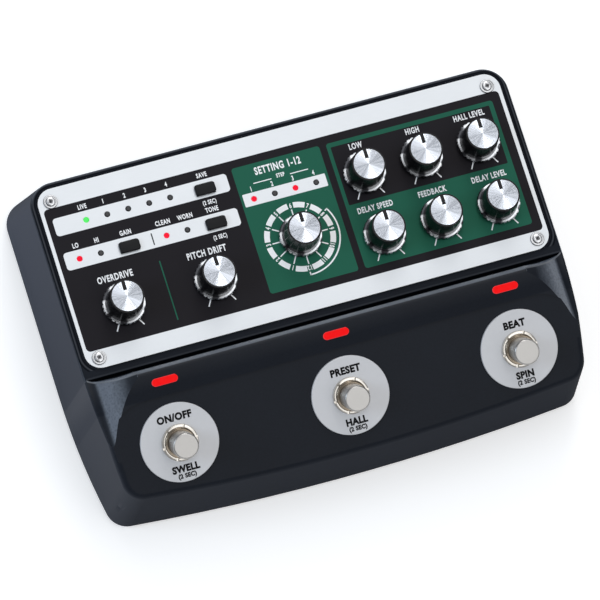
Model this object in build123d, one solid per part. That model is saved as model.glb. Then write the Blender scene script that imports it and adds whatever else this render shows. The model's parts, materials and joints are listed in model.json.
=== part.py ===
from build123d import *
import os
from math import asin, cos, degrees, radians, sin, sqrt, tan

os.makedirs("parts", exist_ok=True)

# Tape echo pedal, in millimetres. X runs left to right, Y front to rear and Z up.
# The origin is on the floor under the middle of the object.

# Case
CASE_WIDTH = 192.0
CASE_FRONT_Y = -66.5
CASE_REAR_Y = 66.5
CONSOLE_TOP_Z = 45.0
FOOT_HEIGHT = 3.2
SIDE_LEAN = 3.6
REAR_LEAN = 6.3
FRONT_LEAN = 2.3
SIDE_BEND_Y = -10.0
SIDE_BEND_RADIUS = 262.0
FRONT_BOW = 4.4
REAR_CORNER_RADIUS = 9.5
FRONT_CORNER_RADIUS = 8.0
WALL = 2.6
ROOF = 3.0
EDGE_ROUND = 0.9
DECK_ROUND = 2.5
DECK_RISE = 3
CUT_OVERRUN = 5.0

# Foot deck and the ridge in front of the console
DECK_TILT = 22.5
DECK_INSET = 21.1
DECK_DROP = 1.3
DECK_STEP = 0.5
DECK_STEP_V = 17.8
DECK_STEP_INSET = 2.4
DECK_STEP_CORNER = 15.0
CREST_ROUND = 1.4
RIDGE_WALL = 1.8
EDGE_MATCH = 0.01
RIDGE_ROOT = 2.0
RIDGE_LEDGE = 3.4
RIDGE_END_SLOPE = 52.0
RIDGE_CREST_SLOPE = 6.0
RIDGE_FOOT_ROUND = 5.0
GROOVE_REAR_Y = -14.9
GROOVE_WIDTH = 4.0
GROOVE_DEPTH = 5.0
GROOVE_END_INSET = 1.0
GROOVE_BEND = 7.0

# Control panel
PANEL_SIDE_RIM = 2.8
PANEL_FRONT_RIM = 3.1
PANEL_REAR_RIM = 2.3
PANEL_THICK = 1.2
PANEL_PROUD = 0.3
PANEL_CORNER = 6.0
PANEL_CLEARANCE = 0.2
PANEL_SCREW_INSET = 4.9
PANEL_SCREW_FRONT_INSET = 3.9
PANEL_SCREW_HEAD_R = 2.65
PANEL_SCREW_HEAD_H = 1.3
PANEL_SCREW_R = 1.25
PANEL_SCREW_LENGTH = 3.0
RECESS_LENGTH = 2.6
RECESS_WIDTH = 0.7
RECESS_DEPTH = 0.7
HEAD_ROUND = 0.5
THREAD_CLEARANCE = 0.05

# Places on the panel, as shares of its half width and half depth from its middle
KNOB_COLUMN_SHARES = (0.3371, 0.5848, 0.8326)
KNOB_ROW_SHARES = (0.2867, -0.4103)
DRIVE_SHARE = -0.7835
FLUTTER_SHARE = -0.3917
SELECTOR_ROW_SHARE = -0.1966
MEMORY_LED_SHARES = (-0.8259, -0.736, -0.6462, -0.5564, -0.4665)
MEMORY_ROW_SHARE = 0.5753
SOURCE_LED_SHARES = (-0.8996, -0.8092)
TAPE_LED_SHARES = (-0.5279, -0.4386)
SETUP_ROW_SHARE = 0.1894
HEAD_LED_SHARES = (-0.135, -0.0452, 0.0441, 0.1339)
HEAD_ROW_SHARE = 0.3271
STORE_BUTTON_SHARES = (-0.3181, 0.5638)
INPUT_BUTTON_SHARES = (-0.6886, 0.1779)
TAPE_BUTTON_SHARES = (-0.317, 0.1779)

# Knob
KNOB_HEIGHT = 12.3
KNOB_GAP = 0.6
KNOB_FOOT_R = 6.95
KNOB_RIM_R = 6.25
KNOB_RIM_DROP = 0.2
KNOB_CAP_R = 5.65
KNOB_CAP_THICK = 0.7
POINTER_WIDTH = 1.0
POINTER_LENGTH = 3.3
KNOB_RING_R = 8.05
KNOB_RING_HEIGHT = 1.9
KNOB_RING_NOTCHES = 30
RING_NOTCH_R = 0.35
RING_CLEARANCE = 0.05
KNOB_HOLLOW_R = 5.6
KNOB_HOLLOW_HEIGHT = 4.0
KNOB_SOCKET_ROOF = 1.6

# Potentiometer, rotary selector and shaft
SHAFT_R = 3.0
SHAFT_CLEARANCE = 0.05
BUSH_R = 3.5
BUSH_PROUD = 3.4
BUSH_HOLE_CLEARANCE = 0.1
POT_WIDTH = 10.0
POT_DEPTH = 11.0
POT_HEIGHT = 7.0
SELECTOR_BODY_SIZE = 15.0
SHAFT_SEAT = 1.5
POT_NUT_R = 5.2
POT_NUT_THICK = 2.0

# Indicators
LED_R = 1.0
LED_PROUD = 0.25
LED_ROUND = 0.4
LED_HOLE_CLEARANCE = 0.12

# Small push buttons and their tact switches
BUTTON_LENGTH = 7.1
BUTTON_WIDTH = 3.6
BUTTON_PROUD = 1.5
BUTTON_ROUND = 0.5
BUTTON_CLEARANCE = 0.2
BUTTON_FLANGE = 1.0
BUTTON_FLANGE_THICK = 1.0
BUTTON_TRAVEL = 0.6
BUTTON_STOP_GAP = 0.3
TACT_SIZE = 6.0
TACT_STUB_R = 1.7
TACT_STUB_HEIGHT = 0.6

# Boards
BOARD_THICK = 1.6
BOARD_SIDE_GAP = 1.5
PANEL_BOARD_FRONT_GAP = 4.3
PANEL_BOARD_REAR_GAP = 4.6
MAIN_BOARD_FRONT_GAP = 5.5
POST_HEIGHT = 6.0
POST_R = 2.6
POST_PIN_R = 1.4
POST_PIN_PROUD = 1.2
POST_INSET = 6.0
POST_REAR_INSET = 31.3
PIN_CLEARANCE = 0.1

# Bottom plate, feet and screws
PLATE_THICK = 1.5
PLATE_CLEARANCE = 0.3
FOOT_R = 7.5
FOOT_TAPER = 1.0
FOOT_SIDE_INSET = 22.0
FOOT_FRONT_INSET = 24.5
FOOT_REAR_INSET = 22.5
BOSS_R = 3.5
BOSS_SIDE_INSET = 9.0
BOSS_FRONT_INSET = 9.5
BOSS_REAR_INSET = 16.5
BOSS_MIDDLE_INSET = 36.5
CASE_SCREW_R = 1.4
CASE_SCREW_HEAD_R = 2.7
CASE_SCREW_HEAD_H = 1.4
CASE_SCREW_LENGTH = 9.0

# Foot switches
SWITCH_SIDE_INSET = 30.5
SWITCH_PLATE_R = 14.65
SWITCH_PLATE_THICK = 1.0
SWITCH_PLATE_ROUND = 0.25
SWITCH_BUSH_R = 6.0
SWITCH_HOLE_CLEARANCE = 0.15
SWITCH_BUSH_PROUD = 4.4
SWITCH_NUT_R = 6.85
SWITCH_NUT_THICK = 2.5
SWITCH_NUT_CHAMFER = 0.5
SWITCH_BODY_SIZE = 17.0
SWITCH_BODY_HEIGHT = 16.0
SWITCH_ROOM = 1.0
PLUNGER_R = 4.8
PLUNGER_CLEARANCE = 0.05
PLUNGER_PROUD = 11.5
PLUNGER_DEPTH = 8.0
PLUNGER_ROUND = 0.6
PLUNGER_TRAVEL = 2.0
PLUNGER_STOP_GAP = 1.0
SWITCH_BOARD_MARGIN = 2.0
SWITCH_BOARD_LOW_V = -10.0
SWITCH_BOARD_HIGH_V = 14.0

# Lenses over the foot switches
LENS_V = 23.3
LENS_LENGTH = 9.8
LENS_WIDTH = 2.8
LENS_PROUD = 0.3
LENS_ROUND = 0.25
LENS_CLEARANCE = 0.1
LAMP_LENGTH = 3.2
LAMP_WIDTH = 1.6
LAMP_HEIGHT = 1.0

# Rear sockets
JACK_FIELD_DEPTH = 5.2
JACK_FIELD_SIDE_INSET = 8.0
JACK_FIELD_BELOW = 2.7
JACK_FIELD_ABOVE = 3.3
JACK_SHARES = (0.75, 0.555, 0.354, -0.555, -0.75)
MINI_SHARES = (0.146, 0.01)
USB_SHARE = -0.146
DC_SHARE = -0.323
JACK_WIDTH = 15.0
JACK_LENGTH = 26.0
JACK_HEIGHT = 13.0
JACK_BUSH_R = 4.5
JACK_BUSH_PROUD = 3.0
JACK_HOLE_CLEARANCE = 0.15
JACK_BORE_R = 3.2
JACK_BORE_LENGTH = 30.0
JACK_NUT_R = 6.4
JACK_NUT_THICK = 2.2
MINI_WIDTH = 8.0
MINI_LENGTH = 12.0
MINI_HEIGHT = 7.0
MINI_BUSH_R = 2.9
MINI_BUSH_PROUD = 0.5
MINI_BORE_R = 1.8
MINI_BORE_LENGTH = 14.0
USB_WIDTH = 9.0
USB_HEIGHT = 3.3
USB_LENGTH = 9.0
USB_SHELL = 0.35
USB_TONGUE = 0.7
USB_DEPTH = 6.5
DC_WIDTH = 9.0
DC_LENGTH = 14.0
DC_HEIGHT = 11.0
DC_BUSH_R = 4.2
DC_BUSH_PROUD = 0.4
DC_BORE_R = 3.1
DC_BORE_DEPTH = 11.0
DC_PIN_R = 1.0
SOCKET_CLEARANCE = 0.15

# Ribbon cables between the boards
RIBBON_WIDTH = 20.0
RIBBON_THICK = 0.6
RIBBON_BOW = 5.0
RIBBON_GAP = 0.2
PANEL_RIBBON_INSET = 10.0
SWITCH_RIBBON_INSET = 10.0

BOTTOM = (Align.CENTER, Align.CENTER, Align.MIN)

# Places worked out from the sizes above
CONSOLE_HALF = CASE_WIDTH / 2 - SIDE_LEAN
CONSOLE_REAR_Y = CASE_REAR_Y - REAR_LEAN
CREST_Y = GROOVE_REAR_Y - GROOVE_WIDTH
DECK_Y = CASE_FRONT_Y + DECK_INSET
DECK_Z = CONSOLE_TOP_Z - DECK_DROP
PANEL_WIDTH = 2 * (CONSOLE_HALF - PANEL_SIDE_RIM)
PANEL_FRONT_Y = GROOVE_REAR_Y + PANEL_FRONT_RIM
PANEL_REAR_Y = CONSOLE_REAR_Y - PANEL_REAR_RIM
PANEL_DEPTH = PANEL_REAR_Y - PANEL_FRONT_Y
PANEL_Y = (PANEL_FRONT_Y + PANEL_REAR_Y) / 2
PANEL_TOP_Z = CONSOLE_TOP_Z + PANEL_PROUD
ROOF_UNDER_Z = CONSOLE_TOP_Z - ROOF
PANEL_BOARD_Z = ROOF_UNDER_Z - POT_HEIGHT
PLATE_TOP_Z = FOOT_HEIGHT + PLATE_THICK
MAIN_BOARD_Z = PLATE_TOP_Z + POST_HEIGHT
MAIN_BOARD_TOP_Z = MAIN_BOARD_Z + BOARD_THICK
CAVITY_REAR_Y = CONSOLE_REAR_Y - WALL
JACK_FACE_Y = CASE_REAR_Y - JACK_FIELD_DEPTH
JACK_FIELD_HALF_WIDTH = CASE_WIDTH / 2 - JACK_FIELD_SIDE_INSET
JACK_FIELD_LOW_Z = MAIN_BOARD_TOP_Z - JACK_FIELD_BELOW
JACK_FIELD_HIGH_Z = MAIN_BOARD_TOP_Z + JACK_HEIGHT + JACK_FIELD_ABOVE
JACK_XS = [CASE_WIDTH / 2 * share for share in JACK_SHARES]
MINI_XS = [CASE_WIDTH / 2 * share for share in MINI_SHARES]
USB_X = CASE_WIDTH / 2 * USB_SHARE
DC_X = CASE_WIDTH / 2 * DC_SHARE
BOSS_X = CASE_WIDTH / 2 - BOSS_SIDE_INSET
BOSS_FRONT_Y = CASE_FRONT_Y + BOSS_FRONT_INSET
FOOT_X = CASE_WIDTH / 2 - FOOT_SIDE_INSET
BOARD_WIDTH = 2 * (BOSS_X - BOSS_R - BOARD_SIDE_GAP)
MAIN_BOARD_FRONT_Y = BOSS_FRONT_Y + BOSS_R + MAIN_BOARD_FRONT_GAP
PANEL_BOARD_FRONT_Y = GROOVE_REAR_Y + WALL + PANEL_BOARD_FRONT_GAP
PANEL_BOARD_REAR_Y = CAVITY_REAR_Y - PANEL_BOARD_REAR_GAP
SWITCH_BOARD_H = -ROOF - SWITCH_BODY_HEIGHT
SWITCH_PITCH = CASE_WIDTH / 2 - SWITCH_SIDE_INSET
SWITCH_US = (-SWITCH_PITCH, 0, SWITCH_PITCH)
SWITCH_ROOM_X = SWITCH_PITCH + SWITCH_BODY_SIZE / 2 + SWITCH_ROOM

tilt = radians(DECK_TILT)
deck = Plane(origin=(0, DECK_Y, DECK_Z), x_dir=(1, 0, 0), z_dir=(0, -sin(tilt), cos(tilt)))
panel = Pos(0, PANEL_Y, PANEL_TOP_Z)


def deck_height(y, lift):
    """Height of the plane that lies the given distance above the foot deck."""
    return DECK_Z + (y - DECK_Y) * tan(tilt) + lift / cos(tilt)


def upright(radius, low, high):
    """A round bar along Z between two heights."""
    return Pos(0, 0, low) * Cylinder(radius, high - low, align=BOTTOM)


def block(x_size, y_size, low, high):
    """A square bar along Z between two heights."""
    return Pos(0, 0, low) * Box(x_size, y_size, high - low, align=BOTTOM)


def rearward(radius, front_y, rear_y):
    """A round bar along Y between two places."""
    return Pos(0, front_y, 0) * Rot(-90, 0, 0) * Cylinder(radius, rear_y - front_y, align=BOTTOM)


def save(name, *solids):
    """Writes one node, as separate solids where there are several."""
    group = solids[0] if len(solids) == 1 else Compound(children=list(solids))
    export_step(group, f"parts/{name}.step")


def outline(side_inset, rear_inset, front_inset, corner_loss):
    """Plan of the case, drawn in from its foot by the given amounts."""
    half = CASE_WIDTH / 2 - side_inset
    rear = CASE_REAR_Y - rear_inset
    front = CASE_FRONT_Y + front_inset
    corner_y = front + FRONT_BOW
    drop = SIDE_BEND_Y - corner_y
    corner_x = half - SIDE_BEND_RADIUS + sqrt(SIDE_BEND_RADIUS**2 - drop**2)
    turn = degrees(asin(drop / SIDE_BEND_RADIUS))
    edges = [
        Line((-half, rear), (half, rear)),
        Line((half, rear), (half, SIDE_BEND_Y)),
        JernArc((half, SIDE_BEND_Y), (0, -1), SIDE_BEND_RADIUS, -turn),
        ThreePointArc((corner_x, corner_y), (0, front), (-corner_x, corner_y)),
        JernArc((-half, SIDE_BEND_Y), (0, -1), SIDE_BEND_RADIUS, turn),
        Line((-half, SIDE_BEND_Y), (-half, rear)),
    ]
    plan = make_face(edges)
    plan = fillet(plan.vertices().group_by(Axis.Y)[-1], REAR_CORNER_RADIUS - corner_loss)
    return fillet(plan.vertices().group_by(Axis.Y)[0], FRONT_CORNER_RADIUS - corner_loss)


def case_block(inset, rear_y_low, rear_y_high, rise):
    """The leaning walls from the foot up, drawn in by an inset; a rise of one ends at the console's top."""
    low = outline(inset, CASE_REAR_Y - rear_y_low, inset, inset)
    rear_inset = CASE_REAR_Y - rear_y_low + rise * (rear_y_low - rear_y_high)
    high = outline(rise * SIDE_LEAN + inset, rear_inset, rise * FRONT_LEAN + inset, inset)
    top = FOOT_HEIGHT + rise * (CONSOLE_TOP_Z - FOOT_HEIGHT)
    return loft([Pos(0, 0, FOOT_HEIGHT) * low, Pos(0, 0, top) * high], ruled=True)


def ridge_end():
    """Rounded end of the ridge in front view: x of its foot, a middle point, x and height of its top."""
    crest = deck_height(CREST_Y, DECK_STEP)
    steep = radians(RIDGE_END_SLOPE)
    flat = radians(RIDGE_CREST_SLOPE)
    radius = (crest - CONSOLE_TOP_Z) / (cos(flat) - cos(steep))
    foot_x = CONSOLE_HALF - RIDGE_LEDGE
    centre_x = foot_x - radius * sin(steep)
    centre_z = CONSOLE_TOP_Z - radius * cos(steep)
    mid = (steep + flat) / 2
    mid = (centre_x + radius * sin(mid), centre_z + radius * cos(mid))
    return foot_x, mid, centre_x + radius * sin(flat), crest


def ridge_block():
    """The wedge that lifts the rear of the foot deck above the console, with rounded ends."""
    half = CONSOLE_HALF
    root = CONSOLE_TOP_Z - RIDGE_ROOT
    top = deck_height(GROOVE_REAR_Y, DECK_STEP)
    root_y = DECK_Y + (root - DECK_Z - DECK_STEP / cos(tilt)) / tan(tilt)
    wedge = Polyline((root_y, root), (GROOVE_REAR_Y, top), (GROOVE_REAR_Y, root), close=True)
    wedge = extrude(Plane.YZ * make_face(wedge), half, both=True)
    foot_x, mid, crest_x, crest = ridge_end()
    ends = [
        Polyline((0, root), (half, root), (half, CONSOLE_TOP_Z), (foot_x, CONSOLE_TOP_Z)),
        ThreePointArc((foot_x, CONSOLE_TOP_Z), mid, (crest_x, crest)),
        Polyline((crest_x, crest), (0, crest), (0, root)),
    ]
    hump = make_face([edge for part in ends for edge in part.edges()])
    foot = [v for v in hump.vertices() if abs(v.X - foot_x) + abs(v.Y - CONSOLE_TOP_Z) < RIDGE_LEDGE / 2]
    hump = fillet(foot, RIDGE_FOOT_ROUND)
    hump += mirror(hump, Plane.YZ)
    hump = extrude(Plane.XZ * hump, CASE_WIDTH, both=True)
    plan = outline(SIDE_LEAN + EDGE_ROUND, REAR_LEAN, FRONT_LEAN, 0)
    return wedge & hump & extrude(plan, top)


def groove():
    """The slot between ridge and console, which narrows to nothing at both ends."""
    bend_x = ridge_end()[2] + GROOVE_BEND
    end_x = CONSOLE_HALF - GROOVE_END_INSET
    edges = [
        Line((-bend_x, CREST_Y), (bend_x, CREST_Y)),
        TangentArc((bend_x, CREST_Y), (end_x, GROOVE_REAR_Y), tangent=(1, 0)),
        Line((end_x, GROOVE_REAR_Y), (-end_x, GROOVE_REAR_Y)),
        TangentArc((-bend_x, CREST_Y), (-end_x, GROOVE_REAR_Y), tangent=(-1, 0)),
    ]
    return Pos(0, 0, CONSOLE_TOP_Z - GROOVE_DEPTH) * extrude(make_face(edges), CONSOLE_TOP_Z)


def deck_step():
    """What is taken off the deck so that the foot area lies a little below the lens strip."""
    reach = CASE_WIDTH
    corner = DECK_STEP_CORNER
    area = Pos(0, DECK_STEP_V - reach / 2) * Rectangle(2 * (CONSOLE_HALF - DECK_STEP_INSET), reach)
    area = fillet(area.vertices().group_by(Axis.Y)[-1], corner)
    low = Pos(0, -corner - reach / 2 + DECK_STEP_V) * Rectangle(2 * reach, reach)
    return deck * extrude(area + low, reach)


def cavity():
    """The room inside the case."""
    under_front = deck_height(CASE_FRONT_Y, -ROOF)
    ridge_y = CREST_Y - RIDGE_WALL
    console_y = GROOVE_REAR_Y + WALL
    groove_under = CONSOLE_TOP_Z - GROOVE_DEPTH - ROOF
    profile = Polyline(
        (CASE_FRONT_Y, FOOT_HEIGHT),
        (CASE_FRONT_Y, under_front),
        (ridge_y, deck_height(ridge_y, -ROOF)),
        (ridge_y, groove_under),
        (console_y, groove_under),
        (console_y, ROOF_UNDER_Z),
        (CASE_REAR_Y, ROOF_UNDER_Z),
        (CASE_REAR_Y, FOOT_HEIGHT),
        close=True,
    )
    room = extrude(Plane.YZ * make_face(profile), CASE_WIDTH, both=True)
    low_part = block(2 * CASE_WIDTH, 2 * CASE_WIDTH, 0, ROOF_UNDER_Z)
    ridge_part = block(2 * SWITCH_ROOM_X, 2 * CASE_WIDTH, 0, CASE_WIDTH)
    return case_block(WALL, CAVITY_REAR_Y, CAVITY_REAR_Y, 1) & room & (low_part + ridge_part)


def on_panel(u_share, v_share):
    """Place on the panel, from its middle, of a pair of shares."""
    return u_share * PANEL_WIDTH / 2, v_share * PANEL_DEPTH / 2


def knob_places():
    """Name and panel place of each turning control."""
    names = ("low_tone", "high_tone", "reverb_level", "repeat_speed", "feedback", "echo_level")
    grid = [on_panel(u, v) for v in KNOB_ROW_SHARES for u in KNOB_COLUMN_SHARES]
    places = dict(zip(names, grid))
    places["drive"] = on_panel(DRIVE_SHARE, KNOB_ROW_SHARES[1])
    places["flutter"] = on_panel(FLUTTER_SHARE, KNOB_ROW_SHARES[1])
    places["selector"] = on_panel(0, SELECTOR_ROW_SHARE)
    return places


def led_places():
    """Panel places of the indicators, as green lit, red lit and dark."""
    memory = [on_panel(u, MEMORY_ROW_SHARE) for u in MEMORY_LED_SHARES]
    source = [on_panel(u, SETUP_ROW_SHARE) for u in SOURCE_LED_SHARES]
    tape = [on_panel(u, SETUP_ROW_SHARE) for u in TAPE_LED_SHARES]
    heads = [on_panel(u, HEAD_ROW_SHARE) for u in HEAD_LED_SHARES]
    red = [source[0], tape[0]] + heads[0::2]
    dark = memory[1:] + [source[1], tape[1]] + heads[1::2]
    return memory[:1], red, dark


KNOBS = knob_places()
GREEN_LEDS, RED_LEDS, DARK_LEDS = led_places()
BUTTONS = {
    "store": on_panel(*STORE_BUTTON_SHARES),
    "input": on_panel(*INPUT_BUTTON_SHARES),
    "tape": on_panel(*TAPE_BUTTON_SHARES),
}
screw_u = PANEL_WIDTH / 2 - PANEL_SCREW_INSET
screw_v = PANEL_DEPTH / 2 - PANEL_SCREW_FRONT_INSET
PANEL_SCREWS = [(u, v) for u in (-screw_u, screw_u) for v in (-screw_v, screw_v)]
boss_rows = (CASE_FRONT_Y + BOSS_MIDDLE_INSET, CASE_REAR_Y - BOSS_REAR_INSET)
BOSSES = [(x, y) for x in (-BOSS_X, BOSS_X) for y in boss_rows]
BOSSES += [(x, BOSS_FRONT_Y) for x in (-SWITCH_PITCH / 2, SWITCH_PITCH / 2)]
JACK_AXIS_Z = MAIN_BOARD_TOP_Z + JACK_HEIGHT / 2
MINI_AXIS_Z = MAIN_BOARD_TOP_Z + MINI_HEIGHT / 2
DC_AXIS_Z = MAIN_BOARD_TOP_Z + DC_HEIGHT / 2
USB_AXIS_Z = MAIN_BOARD_TOP_Z + USB_HEIGHT / 2


def panel_holes(low, high):
    """Cutters for everything that comes up through the panel."""
    leds = GREEN_LEDS + RED_LEDS + DARK_LEDS
    slot_x = BUTTON_LENGTH + 2 * BUTTON_CLEARANCE
    slot_y = BUTTON_WIDTH + 2 * BUTTON_CLEARANCE
    cutters = [Pos(u, v) * upright(BUSH_R + BUSH_HOLE_CLEARANCE, low, high) for u, v in KNOBS.values()]
    cutters += [Pos(u, v) * upright(LED_R + LED_HOLE_CLEARANCE, low, high) for u, v in leds]
    cutters += [Pos(u, v) * block(slot_x, slot_y, low, high) for u, v in BUTTONS.values()]
    screw_r = PANEL_SCREW_R + THREAD_CLEARANCE
    cutters += [Pos(u, v) * upright(screw_r, low, high) for u, v in PANEL_SCREWS]
    return [panel * cutter for cutter in cutters]


def deck_holes():
    """Cutters for the foot switches and lenses."""
    low = -ROOF - CUT_OVERRUN
    high = DECK_STEP + CUT_OVERRUN
    length = LENS_LENGTH + 2 * LENS_CLEARANCE
    pill = extrude(SlotOverall(length, LENS_WIDTH + 2 * LENS_CLEARANCE), high - low)
    bush = upright(SWITCH_BUSH_R + SWITCH_HOLE_CLEARANCE, low, high)
    cutters = [Pos(u, 0) * bush for u in SWITCH_US]
    cutters += [Pos(u, LENS_V, low) * pill for u in SWITCH_US]
    return [deck * cutter for cutter in cutters]


def rear_holes():
    """Cutters for the sockets in the rear wall, and the upright field that they stand in."""
    rear = CASE_REAR_Y + CUT_OVERRUN
    front = CAVITY_REAR_Y - CUT_OVERRUN
    jack_r = JACK_BUSH_R + JACK_HOLE_CLEARANCE
    mini_r = MINI_BUSH_R + SOCKET_CLEARANCE
    dc_r = DC_BUSH_R + SOCKET_CLEARANCE
    field = block(2 * JACK_FIELD_HALF_WIDTH, rear - JACK_FACE_Y, JACK_FIELD_LOW_Z, JACK_FIELD_HIGH_Z)
    cutters = [Pos(0, (rear + JACK_FACE_Y) / 2) * field]
    cutters += [Pos(x, 0, JACK_AXIS_Z) * rearward(jack_r, front, rear) for x in JACK_XS]
    cutters += [Pos(x, 0, MINI_AXIS_Z) * rearward(mini_r, front, rear) for x in MINI_XS]
    cutters.append(Pos(DC_X, 0, DC_AXIS_Z) * rearward(dc_r, front, rear))
    usb = RectangleRounded(
        USB_WIDTH + 2 * SOCKET_CLEARANCE, USB_HEIGHT + 2 * SOCKET_CLEARANCE, USB_HEIGHT / 2
    )
    usb = Plane.XZ * extrude(usb, 2 * CASE_REAR_Y, both=True)
    cutters.append(Pos(USB_X, 2 * CASE_REAR_Y + front, USB_AXIS_Z) * usb)
    return cutters


def top_case():
    """The cast shell: walls, console, foot deck, ridge, bosses and every hole."""
    walls = case_block(0, CASE_REAR_Y, CONSOLE_REAR_Y, 1)
    walls = fillet(walls.edges().group_by(Axis.Z)[-1], EDGE_ROUND)
    sloped = case_block(0, CASE_REAR_Y, CONSOLE_REAR_Y, DECK_RISE)
    sloped -= deck * Box(2 * CASE_WIDTH, 2 * CASE_WIDTH, CASE_WIDTH, align=BOTTOM)
    brim = [e for e in sloped.edges() if all(abs(deck.to_local_coords(e @ t).Z) < EDGE_MATCH for t in (0, 1 / 2, 1))]
    sloped = fillet(brim, DECK_ROUND)
    shell = (walls & sloped) + ridge_block() - deck_step() - groove()
    lip_z = deck_height(CREST_Y, DECK_STEP)
    lip = [e for e in shell.edges() if abs((e @ (1 / 2)).Z - lip_z) + abs((e @ (1 / 2)).Y - CREST_Y) < EDGE_MATCH]
    shell = fillet(lip, CREST_ROUND)
    recess = RectangleRounded(
        PANEL_WIDTH + 2 * PANEL_CLEARANCE, PANEL_DEPTH + 2 * PANEL_CLEARANCE, PANEL_CORNER + PANEL_CLEARANCE
    )
    shell -= Pos(0, PANEL_Y, PANEL_TOP_Z - PANEL_THICK) * extrude(recess, CONSOLE_TOP_Z)
    solid = shell
    shell = shell - cavity()
    boss = upright(BOSS_R, PLATE_TOP_Z, ROOF_UNDER_Z)
    shell += [(Pos(x, y) * boss) & solid for x, y in BOSSES]
    hole = upright(CASE_SCREW_R + THREAD_CLEARANCE, FOOT_HEIGHT, PLATE_TOP_Z + CASE_SCREW_LENGTH)
    shell -= [Pos(x, y) * hole for x, y in BOSSES]
    shell -= panel_holes(-ROOF - CUT_OVERRUN, CUT_OVERRUN)
    shell -= deck_holes()
    return shell - rear_holes()


def screw(head_r, head_h, shank_r, length):
    """A cross-recess screw standing on its point, head's seat at zero."""
    head = fillet(upright(head_r, 0, head_h).edges().group_by(Axis.Z)[-1], HEAD_ROUND)
    arms = [block(RECESS_LENGTH, RECESS_WIDTH, head_h - RECESS_DEPTH, head_h + CUT_OVERRUN)]
    arms.append(block(RECESS_WIDTH, RECESS_LENGTH, head_h - RECESS_DEPTH, head_h + CUT_OVERRUN))
    return head - arms + upright(shank_r, -length, 0)


def bottom_plate():
    """The steel sheet that closes the case from below."""
    inset = WALL + PLATE_CLEARANCE
    plan = outline(inset, CASE_REAR_Y - CAVITY_REAR_Y + PLATE_CLEARANCE, inset, inset)
    plate = Pos(0, 0, FOOT_HEIGHT) * extrude(plan, PLATE_THICK)
    hole = upright(CASE_SCREW_R + THREAD_CLEARANCE, 0, PLATE_TOP_Z + CUT_OVERRUN)
    return plate - [Pos(x, y) * hole for x, y in BOSSES]


def knob_body():
    """Black tapered knob, foot at the knob's gap above the panel."""
    low = KNOB_GAP
    rim = KNOB_HEIGHT - KNOB_RIM_DROP
    waist = low + KNOB_RING_HEIGHT
    profile = Polyline(
        (0, low), (KNOB_FOOT_R, low), (KNOB_FOOT_R, waist), (KNOB_RIM_R, rim), (0, rim), close=True
    )
    body = revolve(Plane.XZ * make_face(profile), Axis.Z)
    body -= upright(KNOB_CAP_R, KNOB_HEIGHT - KNOB_CAP_THICK, KNOB_HEIGHT)
    body -= upright(KNOB_HOLLOW_R, low, low + KNOB_HOLLOW_HEIGHT)
    return body - upright(SHAFT_R + SHAFT_CLEARANCE, low, KNOB_HEIGHT - KNOB_CAP_THICK - KNOB_SOCKET_ROOF)


def knob_trim():
    """Aluminium cap with its pointer slot, and the bright notched ring at the knob's foot."""
    cap = upright(KNOB_CAP_R, KNOB_HEIGHT - KNOB_CAP_THICK, KNOB_HEIGHT)
    slot = Pos(0, KNOB_CAP_R) * block(POINTER_WIDTH, 2 * POINTER_LENGTH, 0, KNOB_HEIGHT + CUT_OVERRUN)
    ring = upright(KNOB_RING_R, KNOB_GAP, KNOB_GAP + KNOB_RING_HEIGHT)
    ring = chamfer(ring.edges().group_by(Axis.Z)[-1], RING_NOTCH_R)
    ring -= upright(KNOB_FOOT_R + RING_CLEARANCE, 0, KNOB_HEIGHT)
    notch = Pos(KNOB_RING_R, 0) * upright(RING_NOTCH_R, 0, KNOB_HEIGHT)
    ring -= [Rot(0, 0, 360 / KNOB_RING_NOTCHES * i) * notch for i in range(KNOB_RING_NOTCHES)]
    return cap - slot, ring


SHAFT_LOW = PANEL_BOARD_Z + SHAFT_SEAT - PANEL_TOP_Z
SHAFT_HIGH = KNOB_HEIGHT - KNOB_CAP_THICK - KNOB_SOCKET_ROOF
BODY_LOW = PANEL_BOARD_Z - PANEL_TOP_Z
BODY_HIGH = ROOF_UNDER_Z - PANEL_TOP_Z


def control_body(x_size, y_size):
    """Body of a turning control with its bush, open from above for the shaft."""
    body = block(x_size, y_size, BODY_LOW, BODY_HIGH) + upright(BUSH_R, BODY_HIGH, BUSH_PROUD)
    return body - upright(SHAFT_R + SHAFT_CLEARANCE, SHAFT_LOW, BUSH_PROUD)


def button():
    """Push button: cap, retaining flange under the roof and stem."""
    cap = block(BUTTON_LENGTH, BUTTON_WIDTH, BODY_HIGH, BUTTON_PROUD)
    top = cap.edges().group_by(Axis.Z)[-1]
    cap = fillet(top, BUTTON_ROUND)
    flange_x = BUTTON_LENGTH + 2 * BUTTON_FLANGE
    flange_y = BUTTON_WIDTH + 2 * BUTTON_FLANGE
    return cap + block(flange_x, flange_y, BODY_HIGH - BUTTON_FLANGE_THICK, BODY_HIGH)


def tact_switch():
    """Tact switch under a button, with its travel left free above it."""
    stub_top = BODY_HIGH - BUTTON_FLANGE_THICK - BUTTON_TRAVEL - BUTTON_STOP_GAP
    body = block(TACT_SIZE, TACT_SIZE, BODY_LOW, stub_top - TACT_STUB_HEIGHT)
    return body + upright(TACT_STUB_R, BODY_LOW, stub_top)


def panel_led():
    """Indicator that reaches from the panel board to just above the panel."""
    led = upright(LED_R, BODY_LOW, LED_PROUD)
    return fillet(led.edges().group_by(Axis.Z)[-1], LED_ROUND)


def hex_nut(radius, bore_r, thick):
    """A plain hexagon nut, seat at zero."""
    return extrude(RegularPolygon(radius, 6), thick) - upright(bore_r, 0, thick)


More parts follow.
